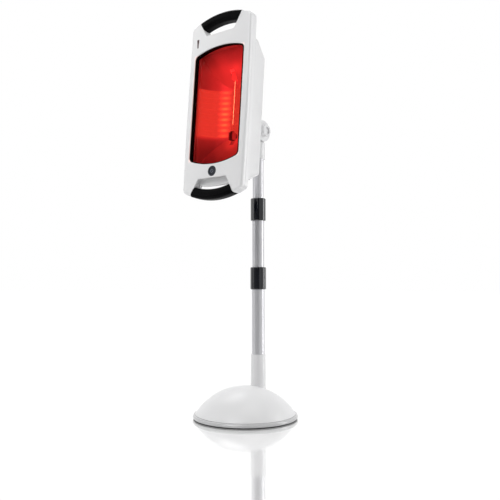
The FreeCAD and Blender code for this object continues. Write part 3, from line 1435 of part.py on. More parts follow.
# --------------------------------------------------------------------- check
failed = [obj.Label for obj in doc.Objects if {"Invalid", "Error"} & set(obj.State)]
if failed:
    raise SystemExit(f"features that failed: {failed}")
for label, obj in nodes.items():
    if obj.Shape.isNull() or not obj.Shape.isValid():
        raise SystemExit(f"sub-part without a valid shape: {label}")
for label, obj in nodes.items():
    obj.Shape.exportStep(f"parts/{label}.step")
    box = obj.Shape.BoundBox
    print(f"{label:18s} solids {len(obj.Shape.Solids)}  volume {obj.Shape.Volume / 1000:9.2f} cm3"
          f"  x {box.XMin:7.1f} {box.XMax:7.1f}  y {box.YMin:7.1f} {box.YMax:7.1f}"
          f"  z {box.ZMin:7.1f} {box.ZMax:7.1f}")
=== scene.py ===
import json
import math

import bpy
from mathutils import Matrix, Vector


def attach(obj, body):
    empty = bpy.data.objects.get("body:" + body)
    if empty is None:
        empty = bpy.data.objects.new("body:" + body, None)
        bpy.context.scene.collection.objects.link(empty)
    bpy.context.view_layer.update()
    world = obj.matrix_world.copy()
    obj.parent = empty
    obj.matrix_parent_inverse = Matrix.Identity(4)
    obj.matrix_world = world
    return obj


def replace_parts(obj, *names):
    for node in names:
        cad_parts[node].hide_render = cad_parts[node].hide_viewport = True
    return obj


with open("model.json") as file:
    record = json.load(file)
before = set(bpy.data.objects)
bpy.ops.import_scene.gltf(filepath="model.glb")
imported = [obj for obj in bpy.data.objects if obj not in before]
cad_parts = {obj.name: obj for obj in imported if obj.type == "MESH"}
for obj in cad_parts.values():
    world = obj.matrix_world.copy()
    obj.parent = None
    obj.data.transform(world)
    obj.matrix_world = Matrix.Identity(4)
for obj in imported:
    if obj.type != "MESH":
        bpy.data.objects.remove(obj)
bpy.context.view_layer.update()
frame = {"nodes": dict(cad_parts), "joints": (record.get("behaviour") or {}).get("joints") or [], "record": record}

nodes = frame["nodes"]

mm = 0.001

# The face frame: x across, y into the head, z up along the front face.
faceFrame = {
    "reach": 170.7 * mm,   # front face ahead of the tilt axis
    "rise": 24.8 * mm,     # middle of the window above the tilt axis
}
joints = {joint["name"]: joint for joint in frame["joints"]}
tiltAxis = Vector(joints["head_tilt"]["pos_m"])
faceIn = Vector(joints["power_button_push"]["axis"]).normalized()
faceUp = Vector((1, 0, 0)).cross(faceIn)
faceCentre = tiltAxis - faceIn * faceFrame["reach"] + faceUp * faceFrame["rise"]
onFace = Matrix.Translation(faceCentre) @ Matrix((
    (1, faceIn.x, faceUp.x, 0), (0, faceIn.y, faceUp.y, 0), (0, faceIn.z, faceUp.z, 0), (0, 0, 0, 1)))


def deselectAll():
    if bpy.context.object and bpy.context.object.mode == "EDIT":
        bpy.ops.object.mode_set(mode="OBJECT")
    bpy.ops.object.select_all(action="DESELECT")


def takeUp(piece):
    deselectAll()
    piece.select_set(True)
    bpy.context.view_layer.objects.active = piece


def applyModifier(piece, kind, **settings):
    takeUp(piece)
    modifier = piece.modifiers.new(kind.title(), kind)
    for key, value in settings.items():
        setattr(modifier, key, value)
    bpy.ops.object.modifier_apply(modifier=modifier.name)


# Rounds the edges that bend by more than the given degrees.
def rounded(piece, width, segments=2, degrees=30):
    applyModifier(piece, "BEVEL", width=width, segments=segments, limit_method="ANGLE",
                  angle_limit=math.radians(degrees))


def editAll(piece):
    takeUp(piece)
    bpy.ops.object.mode_set(mode="EDIT")
    bpy.ops.mesh.select_all(action="SELECT")


def faceOutwards(piece):
    editAll(piece)
    bpy.ops.mesh.normals_make_consistent(inside=False)
    bpy.ops.object.mode_set(mode="OBJECT")


def pick(piece, kind, test):
    bpy.ops.object.mode_set(mode="OBJECT")
    mesh = piece.data
    for item in (*mesh.vertices, *mesh.edges, *mesh.polygons):
        item.select = False
    for item in mesh.polygons if kind == "FACE" else mesh.vertices:
        item.select = test(item)
    bpy.ops.object.mode_set(mode="EDIT")
    bpy.ops.mesh.select_mode(type=kind)


squareOn = 0.9                # cosine above which a face counts as looking the given way


def pickFacing(piece, direction):
    pick(piece, "FACE", lambda face: face.normal.dot(direction) > squareOn)


# An open ring of edges through the given places, left in edit mode with all of it selected.
def outlineRing(places):
    deselectAll()
    bpy.ops.mesh.primitive_circle_add(vertices=len(places), radius=1, fill_type="NOTHING")
    ring = bpy.context.object
    for vertex, place in zip(ring.data.vertices, places):
        vertex.co = place
    editAll(ring)
    return ring


def joinPieces(name, *pieces):
    deselectAll()
    for piece in pieces:
        piece.select_set(True)
    bpy.context.view_layer.objects.active = pieces[0]
    if len(pieces) > 1:
        bpy.ops.object.join()
    whole = bpy.context.object
    whole.name = name
    whole.data.name = name
    return whole


def settle(piece, place=None):
    takeUp(piece)
    if place is not None:
        piece.matrix_world = place @ piece.matrix_world
    bpy.ops.object.transform_apply(location=True, rotation=True, scale=True)
    return piece


def smooth(piece, degrees=35):
    takeUp(piece)
    bpy.ops.object.shade_smooth_by_angle(angle=math.radians(degrees))


def giveFinish(piece, finish):
    piece.data.materials.clear()
    piece.data.materials.append(finishes[finish])


def newFinish(name, colour, roughness, metallic=0.0):
    finish = bpy.data.materials.new(name)
    finish.use_nodes = True
    shader = finish.node_tree.nodes["Principled BSDF"]
    shader.inputs["Base Color"].default_value = (*colour, 1)
    shader.inputs["Roughness"].default_value = roughness
    shader.inputs["Metallic"].default_value = metallic
    return finish, shader


def objectPlace(finish, stretch=(1, 1, 1)):
    tree = finish.node_tree
    place = tree.nodes.new("ShaderNodeTexCoord")
    mapping = tree.nodes.new("ShaderNodeMapping")
    mapping.inputs["Scale"].default_value = stretch
    tree.links.new(place.outputs["Object"], mapping.inputs["Vector"])
    return mapping.outputs["Vector"]


def grain(finish, place, scale, detail=3.0, roughness=0.5):
    tree = finish.node_tree
    noise = tree.nodes.new("ShaderNodeTexNoise")
    noise.inputs["Scale"].default_value = scale
    noise.inputs["Detail"].default_value = detail
    noise.inputs["Roughness"].default_value = roughness
    tree.links.new(place, noise.inputs["Vector"])
    return noise.outputs["Fac"]


grainRange = (0.3, 0.7)       # nearly all of a grain's values lie between these


def spread(finish, value, low, high):
    tree = finish.node_tree
    stretch = tree.nodes.new("ShaderNodeMapRange")
    stretch.inputs["From Min"].default_value = grainRange[0]
    stretch.inputs["From Max"].default_value = grainRange[1]
    stretch.inputs["To Min"].default_value = low
    stretch.inputs["To Max"].default_value = high
    tree.links.new(value, stretch.inputs["Value"])
    return stretch.outputs["Result"]


def twoTones(finish, value, first, second):
    tree = finish.node_tree
    ramp = tree.nodes.new("ShaderNodeValToRGB")
    for element, place, tone in zip(ramp.color_ramp.elements, grainRange, (first, second)):
        element.position = place
        element.color = (*tone, 1)
    tree.links.new(value, ramp.inputs["Fac"])
    return ramp.outputs["Color"]


def bumpy(finish, value, depth):
    tree = finish.node_tree
    bump = tree.nodes.new("ShaderNodeBump")
    bump.inputs["Distance"].default_value = depth
    bump.inputs["Strength"].default_value = 1
    tree.links.new(value, bump.inputs["Height"])
    tree.links.new(bump.outputs["Normal"], tree.nodes["Principled BSDF"].inputs["Normal"])


# Each look has two tones in soft clouds, a range of roughness and a fine bump, whose depth is in mm.
# cloud, roughGrain and the first number of bump say how fine the grain is; the next is its detail.
def whiteLook(light=0.82, dull=0.0):
    tones = ((light - 0.012, light - 0.012, light - 0.004), (light, light, light + 0.004))
    return {"tones": tones, "cloud": 14, "rough": (0.17 + dull, 0.25 + dull), "roughGrain": 60,
            "bump": (1400, 2), "depth": 0.02,
            "sockets": {"Coat Weight": 0.25 - dull, "Coat Roughness": 0.08 + dull}}


def mouldLook(colour, rough, depth=0.02, scale=900):
    return {"tones": (tuple(value * 0.8 for value in colour), colour), "cloud": 45,
            "rough": (rough - 0.06, rough + 0.06), "roughGrain": 250, "bump": (scale, 4), "depth": depth}


def metalLook(colour, rough):
    return {"tones": (tuple(value * 0.85 for value in colour), colour), "cloud": 50, "metallic": 1.0,
            "rough": (rough - 0.06, rough + 0.08), "roughGrain": 400, "bump": (900,), "depth": 0.01}


looks = {
    "white": whiteLook(),
    # the base rim is the white moulding made darker: a painted shade
    "rim": whiteLook(0.57),
    "dome": whiteLook(dull=0.15),
    "collar": {"tones": ((0.002, 0.003, 0.006), (0.004, 0.005, 0.009)), "cloud": 40,
               "rough": (0.11, 0.18), "roughGrain": 120, "bump": (1800, 2), "depth": 0.01,
               "sockets": {"Coat Weight": 0.7, "Coat Roughness": 0.1}},
    "deepBlack": {"tones": ((0.001, 0.001, 0.001), (0.002, 0.0017, 0.0017)), "cloud": 60,
                  "rough": (0.5, 0.5), "bump": (900,), "depth": 0.01,
                  "sockets": {"Specular IOR Level": 0.03}},
    "button": {"tones": ((0.013, 0.016, 0.024), (0.018, 0.021, 0.031)), "cloud": 60,
               "rough": (0.3, 0.38), "roughGrain": 300, "bump": (1500, 2), "depth": 0.01,
               "sockets": {"Specular IOR Level": 0.25}},
    "grip": {"tones": ((0.0012, 0.0012, 0.0015), (0.0024, 0.0024, 0.0028)), "cloud": 60,
             "rough": (0.25, 0.33), "roughGrain": 300, "bump": (1500, 4, 0.7), "depth": 0.02,
             "sockets": {"Specular IOR Level": 0.035}},
    "tube": {"tones": ((0.645, 0.645, 0.67), (0.67, 0.67, 0.69)), "cloud": 25, "metallic": 0.55,
             "drawn": (1, 1, 0.012), "rough": (0.30, 0.38), "roughGrain": 900, "bump": (1600, 2),
             "depth": 0.003},
    "foot": mouldLook((0.02, 0.02, 0.02), 0.6),
    "silicone": mouldLook((0.02, 0.02, 0.02), 0.45),
    "sleeve": mouldLook((0.45, 0.43, 0.40), 0.55),
    "cast": mouldLook((0.05, 0.05, 0.05), 0.65, 0.4, 350),
    "steel": metalLook((0.62, 0.62, 0.60), 0.32),
    "nylon": mouldLook((0.30, 0.30, 0.31), 0.5),
    "wire": metalLook((0.8, 0.5, 0.3), 0.4),
    # dark tone for the ceramic holders, a painted shade; painted lamp light is added by the holder light
    "ceramic": mouldLook((0.07, 0.06, 0.055), 0.55),
    "phenolic": mouldLook((0.015, 0.015, 0.015), 0.4),
    "lens": mouldLook((0.05, 0.004, 0.008), 0.15, 0.005),
    "mark": mouldLook((0.20, 0.22, 0.28), 0.4),
}


def surface(name, lookName):
    look = looks[lookName]
    finish, shader = newFinish(name, look["tones"][1], look["rough"][0], look.get("metallic", 0.0))
    link = finish.node_tree.links.new
    place = objectPlace(finish)
    drawn = objectPlace(finish, look["drawn"]) if "drawn" in look else place
    link(twoTones(finish, grain(finish, place, look["cloud"]), *look["tones"]), shader.inputs["Base Color"])
    if "roughGrain" in look:
        worn = grain(finish, drawn, look["roughGrain"])
        link(spread(finish, worn, *look["rough"]), shader.inputs["Roughness"])
    bumpy(finish, grain(finish, drawn, *look["bump"]), look["depth"] * mm)
    for socket, value in look.get("sockets", {}).items():
        shader.inputs[socket].default_value = value
    return finish


clearLooks = {
    "redGlass": {"tint": (0.93, 0.17, 0.19), "rough": 0.0, "bend": 1.04, "gloss": 0.03},
    "quartz": {"tint": (0.98, 0.98, 0.98), "rough": 0.02, "bend": 1.06, "gloss": 0.3},
    "waves": (12, 1),         # slow waves of drawn glass: how fine, and their detail
    "waveDepth": 0.004 * mm,
}


def clearFinish(name, lookName):
    look = clearLooks[lookName]
    finish, shader = newFinish(name, look["tint"], look["rough"])
    shader.inputs["Transmission Weight"].default_value = 1.0
    shader.inputs["IOR"].default_value = look["bend"]
    shader.inputs["Specular IOR Level"].default_value = look["gloss"]
    bumpy(finish, grain(finish, objectPlace(finish), *clearLooks["waves"]), clearLooks["waveDepth"])
    return finish


# Painted light of the lamp room, given as emission: places are in mm across, into and up the face, from the middle
# of the window.
# Pairs are a place and the painted light there; each painted light spot is its place, its reach each way and its
# strength. The wire's glow is the lamp itself.
lampGlow = {
    "wire": (1.0, 0.88, 0.38),
    "wireGlow": ((-60, 0.0), (-36, 0.05), (-32, 7.0), (78, 7.0), (82, 0.4)),
    # colour of the painted lamp light on the reflector; also painted on the housing wall and the holders
    "sheet": (1.0, 0.16, 0.13),
    "paintedHighlight": (0.85, 0.74, 0.16),
    "paintedHighlightRange": (0.2, 1.6),   # painted brightness where the highlight colour starts, and where it is full
    "middleHighlightShare": 0.15,     # share of the highlight colour in the whole painted ribbed middle
    "level": 0.7,
    "middle": (61, 63),       # the ribbed middle ends between these heights
    "foot": (-74, -58),       # and the sloping foot starts between these
    # painted light on the sheet by height, then across it in the ribbed middle and in its sloping ends
    "byHeight": ((-150, 0.12), (-125, 0.2), (-110, 0.27), (-98, 0.35), (-87, 0.5), (-75, 0.68),
                 (-63.5, 0.9), (-61, 1.0), (61, 1.0), (63.5, 0.9), (105, 0.93), (112, 0.86), (120, 0.68),
                 (136, 0.38), (150, 0.1)),
    "acrossMiddle": ((-96, 0.45), (-84, 0.72), (-76, 1.02), (-70, 1.08), (-56, 1.1), (-44, 0.98),
                     (-30, 0.9), (-8, 0.95), (4, 0.85), (96, 0.85)),
    "acrossTop": ((-96, 0.3), (-76, 0.48), (-60, 0.8), (-44, 0.9), (-28, 1.08), (-12, 1.1), (4, 0.95),
                  (96, 0.9)),
    "acrossFoot": ((-96, 0.4), (-76, 0.5), (-60, 0.58), (-40, 0.58), (-26, 0.66), (-6, 0.84), (10, 1.3),
                   (96, 1.45)),
    "ribPitch": 14.2,
    "ribShade": (-0.8, 1, 0.38, 1),   # the wave of painted shade and highlight between ribs, and the painted light at its two ends
    # painted highlights on the ribs, then painted glow spots at the lamp's top and foot
    "ribLight": ((-32, 66, 0), (21, 80, 150), 1.15),
    "topLight": ((14, 66, 106), (34, 60, 22), 0.4),
    "footLight": ((2, 66, -84), (34, 60, 26), 0.3),
    # painted light on the holders by height, then across them; the low middle is a painted shade strip
    "holders": ((-90, 0.5), (-62, 0.55), (-50, 0.6), (60, 0.8), (78, 1.1), (110, 1.0)),
    "acrossHolders": ((-14, 1.0), (-6, 0.9), (-3, 0.04), (4, 0.04), (7, 0.9), (14, 1.0)),
    "upperHolder": (0, 20),   # above this the holder is painted in full light
}


def onFacePlace(finish):
    tree = finish.node_tree
    mapping = tree.nodes.new("ShaderNodeMapping")
    mapping.vector_type = "TEXTURE"
    mapping.inputs["Location"].default_value = faceCentre
    mapping.inputs["Rotation"].default_value = onFace.to_euler()
    mapping.inputs["Scale"].default_value = (mm, mm, mm)
    tree.links.new(objectPlace(finish), mapping.inputs["Vector"])
    return mapping.outputs["Vector"]


def combine(finish, kind, first, second=None):
    node = finish.node_tree.nodes.new("ShaderNodeMath")
    node.operation = kind
    for socket, value in zip(node.inputs, (first, second)):
        if isinstance(value, (int, float)):
            socket.default_value = value
        elif value is not None:
            finish.node_tree.links.new(value, socket)
    return node.outputs[0]


def ease(finish, value, start, end, low, high):
    node = finish.node_tree.nodes.new("ShaderNodeMapRange")
    node.interpolation_type = "SMOOTHSTEP"
    for name, number in (("From Min", start), ("From Max", end), ("To Min", low), ("To Max", high)):
        node.inputs[name].default_value = number
    finish.node_tree.links.new(value, node.inputs["Value"])
    return node.outputs["Result"]


def lightSpot(finish, place, middle, size, strength):
    tree = finish.node_tree
    spot = tree.nodes.new("ShaderNodeMapping")
    spot.vector_type = "TEXTURE"
    spot.inputs["Location"].default_value = middle
    spot.inputs["Scale"].default_value = size
    tree.links.new(place, spot.inputs["Vector"])
    away = tree.nodes.new("ShaderNodeVectorMath")
    away.operation = "LENGTH"
    tree.links.new(spot.outputs["Vector"], away.inputs[0])
    return ease(finish, away.outputs["Value"], 0, 1, strength, 0)


def fillRamp(ramp, stops):
    elements = ramp.color_ramp.elements
    while len(elements) < len(stops):
        elements.new(0.5)
    for element, (place, level) in zip(elements, stops):
        element.position = place
        element.color = (level, level, level, 1)


# A value's level between the stops, which are pairs of a value and its level.
def levels(finish, value, stops):
    tree = finish.node_tree
    span = tree.nodes.new("ShaderNodeMapRange")
    first, last = stops[0][0], stops[-1][0]
    span.inputs["From Min"].default_value = first
    span.inputs["From Max"].default_value = last
    tree.links.new(value, span.inputs["Value"])
    ramp = tree.nodes.new("ShaderNodeValToRGB")
    fillRamp(ramp, [((place - first) / (last - first), level) for place, level in stops])
    tree.links.new(span.outputs["Result"], ramp.inputs["Fac"])
    return ramp.outputs["Color"]


def alongFace(finish):
    split = finish.node_tree.nodes.new("ShaderNodeSeparateXYZ")
    place = onFacePlace(finish)
    finish.node_tree.links.new(place, split.inputs["Vector"])
    return place, split.outputs["X"], split.outputs["Y"], split.outputs["Z"]


# The reflector's own colour is kept dark so that the painted lamp light on it, not its reflections, sets its look.
reflectorLook = {
    "colour": (0.26, 0.25, 0.24),
    "metallic": 0.8,
    "rough": (0.32, 0.40),
    "roughGrain": 200,
    "rolled": (1, 1, 0.3),
    "bump": (500, 2),
    "depth": 0.01,
}


# The reflector sheet with the lamp's light painted on as emission: painted light by height and across, painted rib
# highlights and painted glow spots at the lamp's ends.
def paintedLightSheet(name):
    look, glow = reflectorLook, lampGlow
    finish, shader = newFinish(name, look["colour"], look["rough"][0], look["metallic"])
    link = finish.node_tree.links.new
    bumpy(finish, grain(finish, objectPlace(finish, look["rolled"]), *look["bump"]), look["depth"] * mm)
    worn = grain(finish, objectPlace(finish), look["roughGrain"])
    link(spread(finish, worn, *look["rough"]), shader.inputs["Roughness"])

    def times(first, second):
        return combine(finish, "MULTIPLY", first, second)

    def plus(first, second):
        return combine(finish, "ADD", first, second)

    def minus(first, second):
        return combine(finish, "SUBTRACT", first, second)

    inLamp, across, _, up = alongFace(finish)
    middle = ease(finish, combine(finish, "ABSOLUTE", up), *glow["middle"], 1, 0)
    topEnd = ease(finish, up, *glow["middle"], 0, 1)
    footEnd = ease(finish, up, *glow["foot"], 1, 0)
    share = times(minus(1, plus(topEnd, footEnd)), levels(finish, across, glow["acrossMiddle"]))
    for part, ramp in ((topEnd, "acrossTop"), (footEnd, "acrossFoot")):
        share = plus(share, times(part, levels(finish, across, glow[ramp])))
    plain = times(share, levels(finish, up, glow["byHeight"]))
    wave = combine(finish, "COSINE", times(up, 2 * math.pi / glow["ribPitch"]))
    ribs = times(ease(finish, wave, *glow["ribShade"]), lightSpot(finish, inLamp, *glow["ribLight"]))
    ends = plus(*(lightSpot(finish, inLamp, *glow[end]) for end in ("topLight", "footLight")))
    bright = plus(times(ribs, middle), times(ends, minus(1, middle)))
    paintedHighlight = ease(finish, bright, *glow["paintedHighlightRange"], 0, 1 - glow["middleHighlightShare"])
    highlightMix = finish.node_tree.nodes.new("ShaderNodeMix")
    highlightMix.data_type = "RGBA"
    highlightMix.inputs["A"].default_value = (*glow["sheet"], 1)
    highlightMix.inputs["B"].default_value = (*glow["paintedHighlight"], 1)
    link(plus(paintedHighlight, times(middle, glow["middleHighlightShare"])), highlightMix.inputs["Factor"])
    link(highlightMix.outputs["Result"], shader.inputs["Emission Color"])
    link(times(plus(plain, bright), glow["level"]), shader.inputs["Emission Strength"])
    return finish


# A plain look that also gives light as emission: light is a function that says how much of it there is at each
# place. For the filament this is the lamp's own glow; elsewhere it is painted light of the lamp.
def litSurface(name, lookName, colour, light):
    finish = surface(name, lookName)
    shader = finish.node_tree.nodes["Principled BSDF"]
    shader.inputs["Emission Color"].default_value = (*colour, 1)
    finish.node_tree.links.new(light(finish), shader.inputs["Emission Strength"])
    return finish


# Painted light and shade on what holds the lamp: its upper end is painted as lit by the lamp; what holds its foot
# is painted dimmer, with a dark painted strip down its middle.
def paintedHolderLight(finish):
    _, across, _, up = alongFace(finish)
    upper = ease(finish, up, *lampGlow["upperHolder"], 0, 1)
    share = combine(finish, "MAXIMUM", levels(finish, across, lampGlow["acrossHolders"]), upper)
    return combine(finish, "MULTIPLY", levels(finish, up, lampGlow["holders"]), share)


def wireLight(finish):
    return levels(finish, alongFace(finish)[3], lampGlow["wireGlow"])


# Painted light: the shell's window edge is given the lamp's red light as emission, which fades outwards and past
# the window's ends.
windowEdge = {
    "beside": (79.4, 81.6),
    "ends": (134.0, 140.0),
    "glow": (1.0, 0.45, 0.34),
    "strength": 0.35,
}


def paintedEdgeLight(finish):
    _, across, _, up = alongFace(finish)
    sideways, upright = (combine(finish, "ABSOLUTE", distance) for distance in (across, up))
    beside = ease(finish, sideways, *windowEdge["beside"], windowEdge["strength"], 0)
    within = ease(finish, upright, *windowEdge["ends"], 1, 0)
    return combine(finish, "MULTIPLY", beside, within)


# Painted light of the lamp on the housing's inner wall, seen through the reflector's upper opening, given as
# emission. It ends inside the wall, so the outer side stays white.
paintedInnerLight = {
    "light": ((-20, 75, 113), (20, 20, 20), 0.9),
    "wall": (75.4, 76.2),
}


def paintedWallLight(finish):
    place, _, depth, _ = alongFace(finish)
    inside = ease(finish, depth, *paintedInnerLight["wall"], 1, 0)
    return combine(finish, "MULTIPLY", inside, lightSpot(finish, place, *paintedInnerLight["light"]))


finishes = {
    "white": surface("glossWhiteMoulding", "white"),
    "shell": litSurface("paintedEdgeLightMoulding", "white", windowEdge["glow"], paintedEdgeLight),
    "housing": litSurface("paintedWallLightMoulding", "white", lampGlow["sheet"], paintedWallLight),
    "rim": surface("paintedShadeWhiteRim", "rim"),
    "dome": surface("softWhiteDome", "dome"),
    "collar": surface("blackCollarMoulding", "collar"),
    "grip": surface("softBlackGrip", "grip"),
    "button": surface("satinBlackButton", "button"),
    "foot": surface("footRubber", "foot"),
    "silicone": surface("blackSilicone", "silicone"),
    "sleeve": litSurface("wovenSleeving", "sleeve", lampGlow["sheet"], paintedHolderLight),
    "tube": surface("satinTube", "tube"),
    "cast": surface("roughCasting", "cast"),
    "steel": surface("zincPlatedSteel", "steel"),
    "nylon": surface("greyNylon", "nylon"),
    "redGlass": clearFinish("redFilterGlass", "redGlass"),
    "lip": surface("blackSiliconeLip", "deepBlack"),
    "frame": surface("heatproofBlack", "deepBlack"),
    "reflector": paintedLightSheet("paintedLightReflectorSheet"),
    "quartz": clearFinish("clearQuartz", "quartz"),
    "wire": litSurface("glowingTungsten", "wire", lampGlow["wire"], wireLight),
    "ceramic": litSurface("steatite", "ceramic", lampGlow["sheet"], paintedHolderLight),
    "phenolic": surface("blackPhenolic", "phenolic"),
    "lens": surface("darkRedLens", "lens"),
    "mark": surface("paleMark", "mark"),
}

slotFinish = {
    "white_shell": "white", "black_collar": "collar", "soft_grip": "grip", "foot_rubber": "foot",
    "silicone": "silicone", "lead_sleeve": "sleeve", "pole_tube": "tube", "cast_weight": "cast",
    "sheet_steel": "steel", "grey_plastic": "nylon", "red_glass": "redGlass", "frame_black": "frame",
    "bright_reflector": "reflector", "quartz": "quartz", "tungsten": "wire", "ceramic": "ceramic",
    "electrical": "phenolic", "pilot_lens": "lens",
}
slotOf = {part["node"]: part["material_slot"] for part in frame["record"]["subparts"]}
for name, node in nodes.items():
    for slot in node.material_slots:
        slot.material = finishes[slotFinish[slotOf[name]]]
for name, finish in (("heat_shield", "reflector"), ("front_shell", "shell"), ("base_rim", "rim"),
                     ("base_cover", "dome"), ("rear_shell", "housing")):
    nodes[name].material_slots[0].material = finishes[finish]
print("finishes given to", len(nodes), "nodes")


button = {
    "drop": 166.8 * mm,       # below the middle of the window
    "radius": 12.4 * mm,
    "sides": 96,
    "front": -0.8 * mm,
    "back": 4.5 * mm,
    "rim": 1.4 * mm,
    "round": 0.5 * mm,
    "dish": 0.45 * mm,
    # the dish in steps from the rim inwards: width of the step, share of the dish's depth
    "dishSteps": ((1.6 * mm, 0.55), (1.8 * mm, 0.3), (1.6 * mm, 0.15)),
    "stemRadius": 3.5 * mm,
    "stemBack": 11.5 * mm,
    "lugInner": 11.4 * mm,
    "lugOuter": 15.5 * mm,
    "lugHalf": 3.0 * mm,
    "lugFront": 2.9 * mm,
    "lugBack": 4.5 * mm,
    "lugRound": 0.3 * mm,
}


def pushButton():
    deselectAll()
    depth = button["back"] - button["front"]
    middle = (button["front"] + button["back"]) / 2
    bpy.ops.mesh.primitive_cylinder_add(vertices=button["sides"], radius=button["radius"], depth=depth,
                                        location=(0, middle, -button["drop"]), rotation=(math.pi / 2, 0, 0))
    cap = settle(bpy.context.object)
    pickFacing(cap, Vector((0, -1, 0)))
    bpy.ops.mesh.inset(thickness=button["rim"])
    for width, share in button["dishSteps"]:
        bpy.ops.mesh.inset(thickness=width, depth=0)
        bpy.ops.transform.translate(value=(0, button["dish"] * share, 0))
    pickFacing(cap, Vector((0, 1, 0)))
    bpy.ops.mesh.inset(thickness=button["radius"] - button["stemRadius"])
    bpy.ops.mesh.extrude_region_move(
        TRANSFORM_OT_translate={"value": (0, button["stemBack"] - button["back"], 0)})
    bpy.ops.object.mode_set(mode="OBJECT")
    rounded(cap, button["round"], segments=3, degrees=50)
    lugs = []
    lugAcross = (button["lugInner"] + button["lugOuter"]) / 2
    lugDepth = (button["lugFront"] + button["lugBack"]) / 2
    for side in (-1, 1):
        deselectAll()
        bpy.ops.mesh.primitive_cube_add(size=1, location=(side * lugAcross, lugDepth, -button["drop"]))
        lug = bpy.context.object
        lug.scale = (button["lugOuter"] - button["lugInner"], button["lugBack"] - button["lugFront"],
                     2 * button["lugHalf"])
        settle(lug)
        rounded(lug, button["lugRound"])
        lugs.append(lug)
    piece = settle(joinPieces("pushButton", cap, *lugs), onFace)
    smooth(piece)
    giveFinish(piece, "button")
    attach(piece, "button")
    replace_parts(piece, "power_button")


mark = {
    "radius": 4.3 * mm,
    "sides": 96,
    "width": 0.9 * mm,
    "gap": 32,                # half opening at the top, degrees
    "barTop": 5.0 * mm,
    "barFoot": 0.6 * mm,
    "barRound": 0.04 * mm,
    "thick": 0.15 * mm,
    "lift": 0.6,              # how far its middle stands off the button's face, in thicknesses
}


def buttonMark():
    deselectAll()
    floor = button["front"] + button["dish"] - mark["thick"] * mark["lift"]
    middle = Vector((0, floor, -button["drop"]))
    bpy.ops.mesh.primitive_circle_add(vertices=mark["sides"], radius=mark["radius"], fill_type="NOTHING",
                                      location=middle, rotation=(math.pi / 2, 0, 0))
    ring = settle(bpy.context.object)

    def inGap(vertex):
        across = vertex.co - middle
        return across.z > 0 and abs(math.degrees(math.atan2(across.x, across.z))) < mark["gap"]

    pick(ring, "VERT", inGap)
    bpy.ops.mesh.delete(type="VERT")
    bpy.ops.mesh.select_all(action="SELECT")
    bpy.ops.mesh.extrude_region_move()
    share = 1 - mark["width"] / mark["radius"]
    bpy.ops.transform.resize(value=(share, share, share), center_override=middle)
    bpy.ops.object.mode_set(mode="OBJECT")
    applyModifier(ring, "SOLIDIFY", thickness=mark["thick"], offset=0)
    deselectAll()
    barMiddle = middle + Vector((0, 0, (mark["barTop"] + mark["barFoot"]) / 2))
    bpy.ops.mesh.primitive_cube_add(size=1, location=barMiddle)
    bar = bpy.context.object
    bar.scale = (mark["width"], mark["thick"], mark["barTop"] - mark["barFoot"])
    settle(bar)
    rounded(bar, mark["barRound"])
    piece = settle(joinPieces("buttonMark", ring, bar), onFace)
    faceOutwards(piece)
    giveFinish(piece, "mark")
    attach(piece, "button")


pushButton()
buttonMark()
print("push button made")


grips = {
    "arcMiddle": 23.0 * mm,    # middle of the arc above that of the window
    "outer": 212.5 * mm,
    "inner": 186.6 * mm,
    "front": -1.4 * mm,
    "back": 26.9 * mm,
    "frontRound": 9.0 * mm,
    "backRound": 8.0 * mm,
    "cornerSteps": 8,
    "turnSteps": 40,
    "reach": 75.0 * mm,        # half width of the arc before its slanted ends are cut
    "endHalf": 45.0 * mm,      # half width where the slanted ends start, at the slot's floor
    "endFloor": 182.5 * mm,
    "endFlare": 0.56,
    "endGap": 0.05 * mm,
    "endRound": 0.5 * mm,
    "weld": 0.001 * mm,
}


def gripProfile():
    outline = []
    corners = (
        (grips["inner"], grips["front"], 1, 1, grips["frontRound"], 180),
        (grips["outer"], grips["front"], -1, 1, grips["frontRound"], 270),
        (grips["outer"], grips["back"], -1, -1, grips["backRound"], 0),
        (grips["inner"], grips["back"], 1, -1, grips["backRound"], 90),
    )
    for radius, depth, inwards, backwards, rounding, start in corners:
        middle = (radius + inwards * rounding, depth + backwards * rounding)
        for step in range(grips["cornerSteps"] + 1):
            angle = math.radians(start + 90 * step / grips["cornerSteps"])
            outline.append((middle[0] + rounding * math.cos(angle), middle[1] + rounding * math.sin(angle)))
    return outline


def softBar(name, side):
    bar = outlineRing([(0, depth, grips["arcMiddle"] + radius) for radius, depth in gripProfile()])
    halfTurn = math.asin(grips["reach"] / grips["inner"])
    centre = (0, 0, grips["arcMiddle"])
    bpy.ops.transform.rotate(value=halfTurn, orient_axis="Y", orient_type="GLOBAL", center_override=centre)
    bpy.ops.mesh.spin(steps=grips["turnSteps"], angle=2 * halfTurn, center=centre, axis=(0, -1, 0),
                      use_auto_merge=False)
    for end in (-1, 1):
        bpy.ops.mesh.select_all(action="SELECT")
        slope = Vector((end, 0, -grips["endFlare"])).normalized()
        foot = Vector((end * (grips["endHalf"] - grips["endGap"]), 0, grips["endFloor"]))
        bpy.ops.mesh.bisect(plane_co=foot, plane_no=slope, use_fill=True, clear_outer=True)
    bpy.ops.mesh.select_all(action="SELECT")
    bpy.ops.mesh.remove_doubles(threshold=grips["weld"])
    faceOutwards(bar)
    rounded(bar, grips["endRound"], degrees=60)
    if side < 0:
        settle(bar, Matrix.Rotation(math.pi, 4, "Y"))
    bar = settle(joinPieces(name, bar), onFace)
    smooth(bar, degrees=50)
    giveFinish(bar, "grip")
    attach(bar, "head")
    return bar


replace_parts(softBar("upperGrip", 1), "upper_grip")
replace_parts(softBar("lowerGrip", -1), "lower_grip")
print("soft grips made")


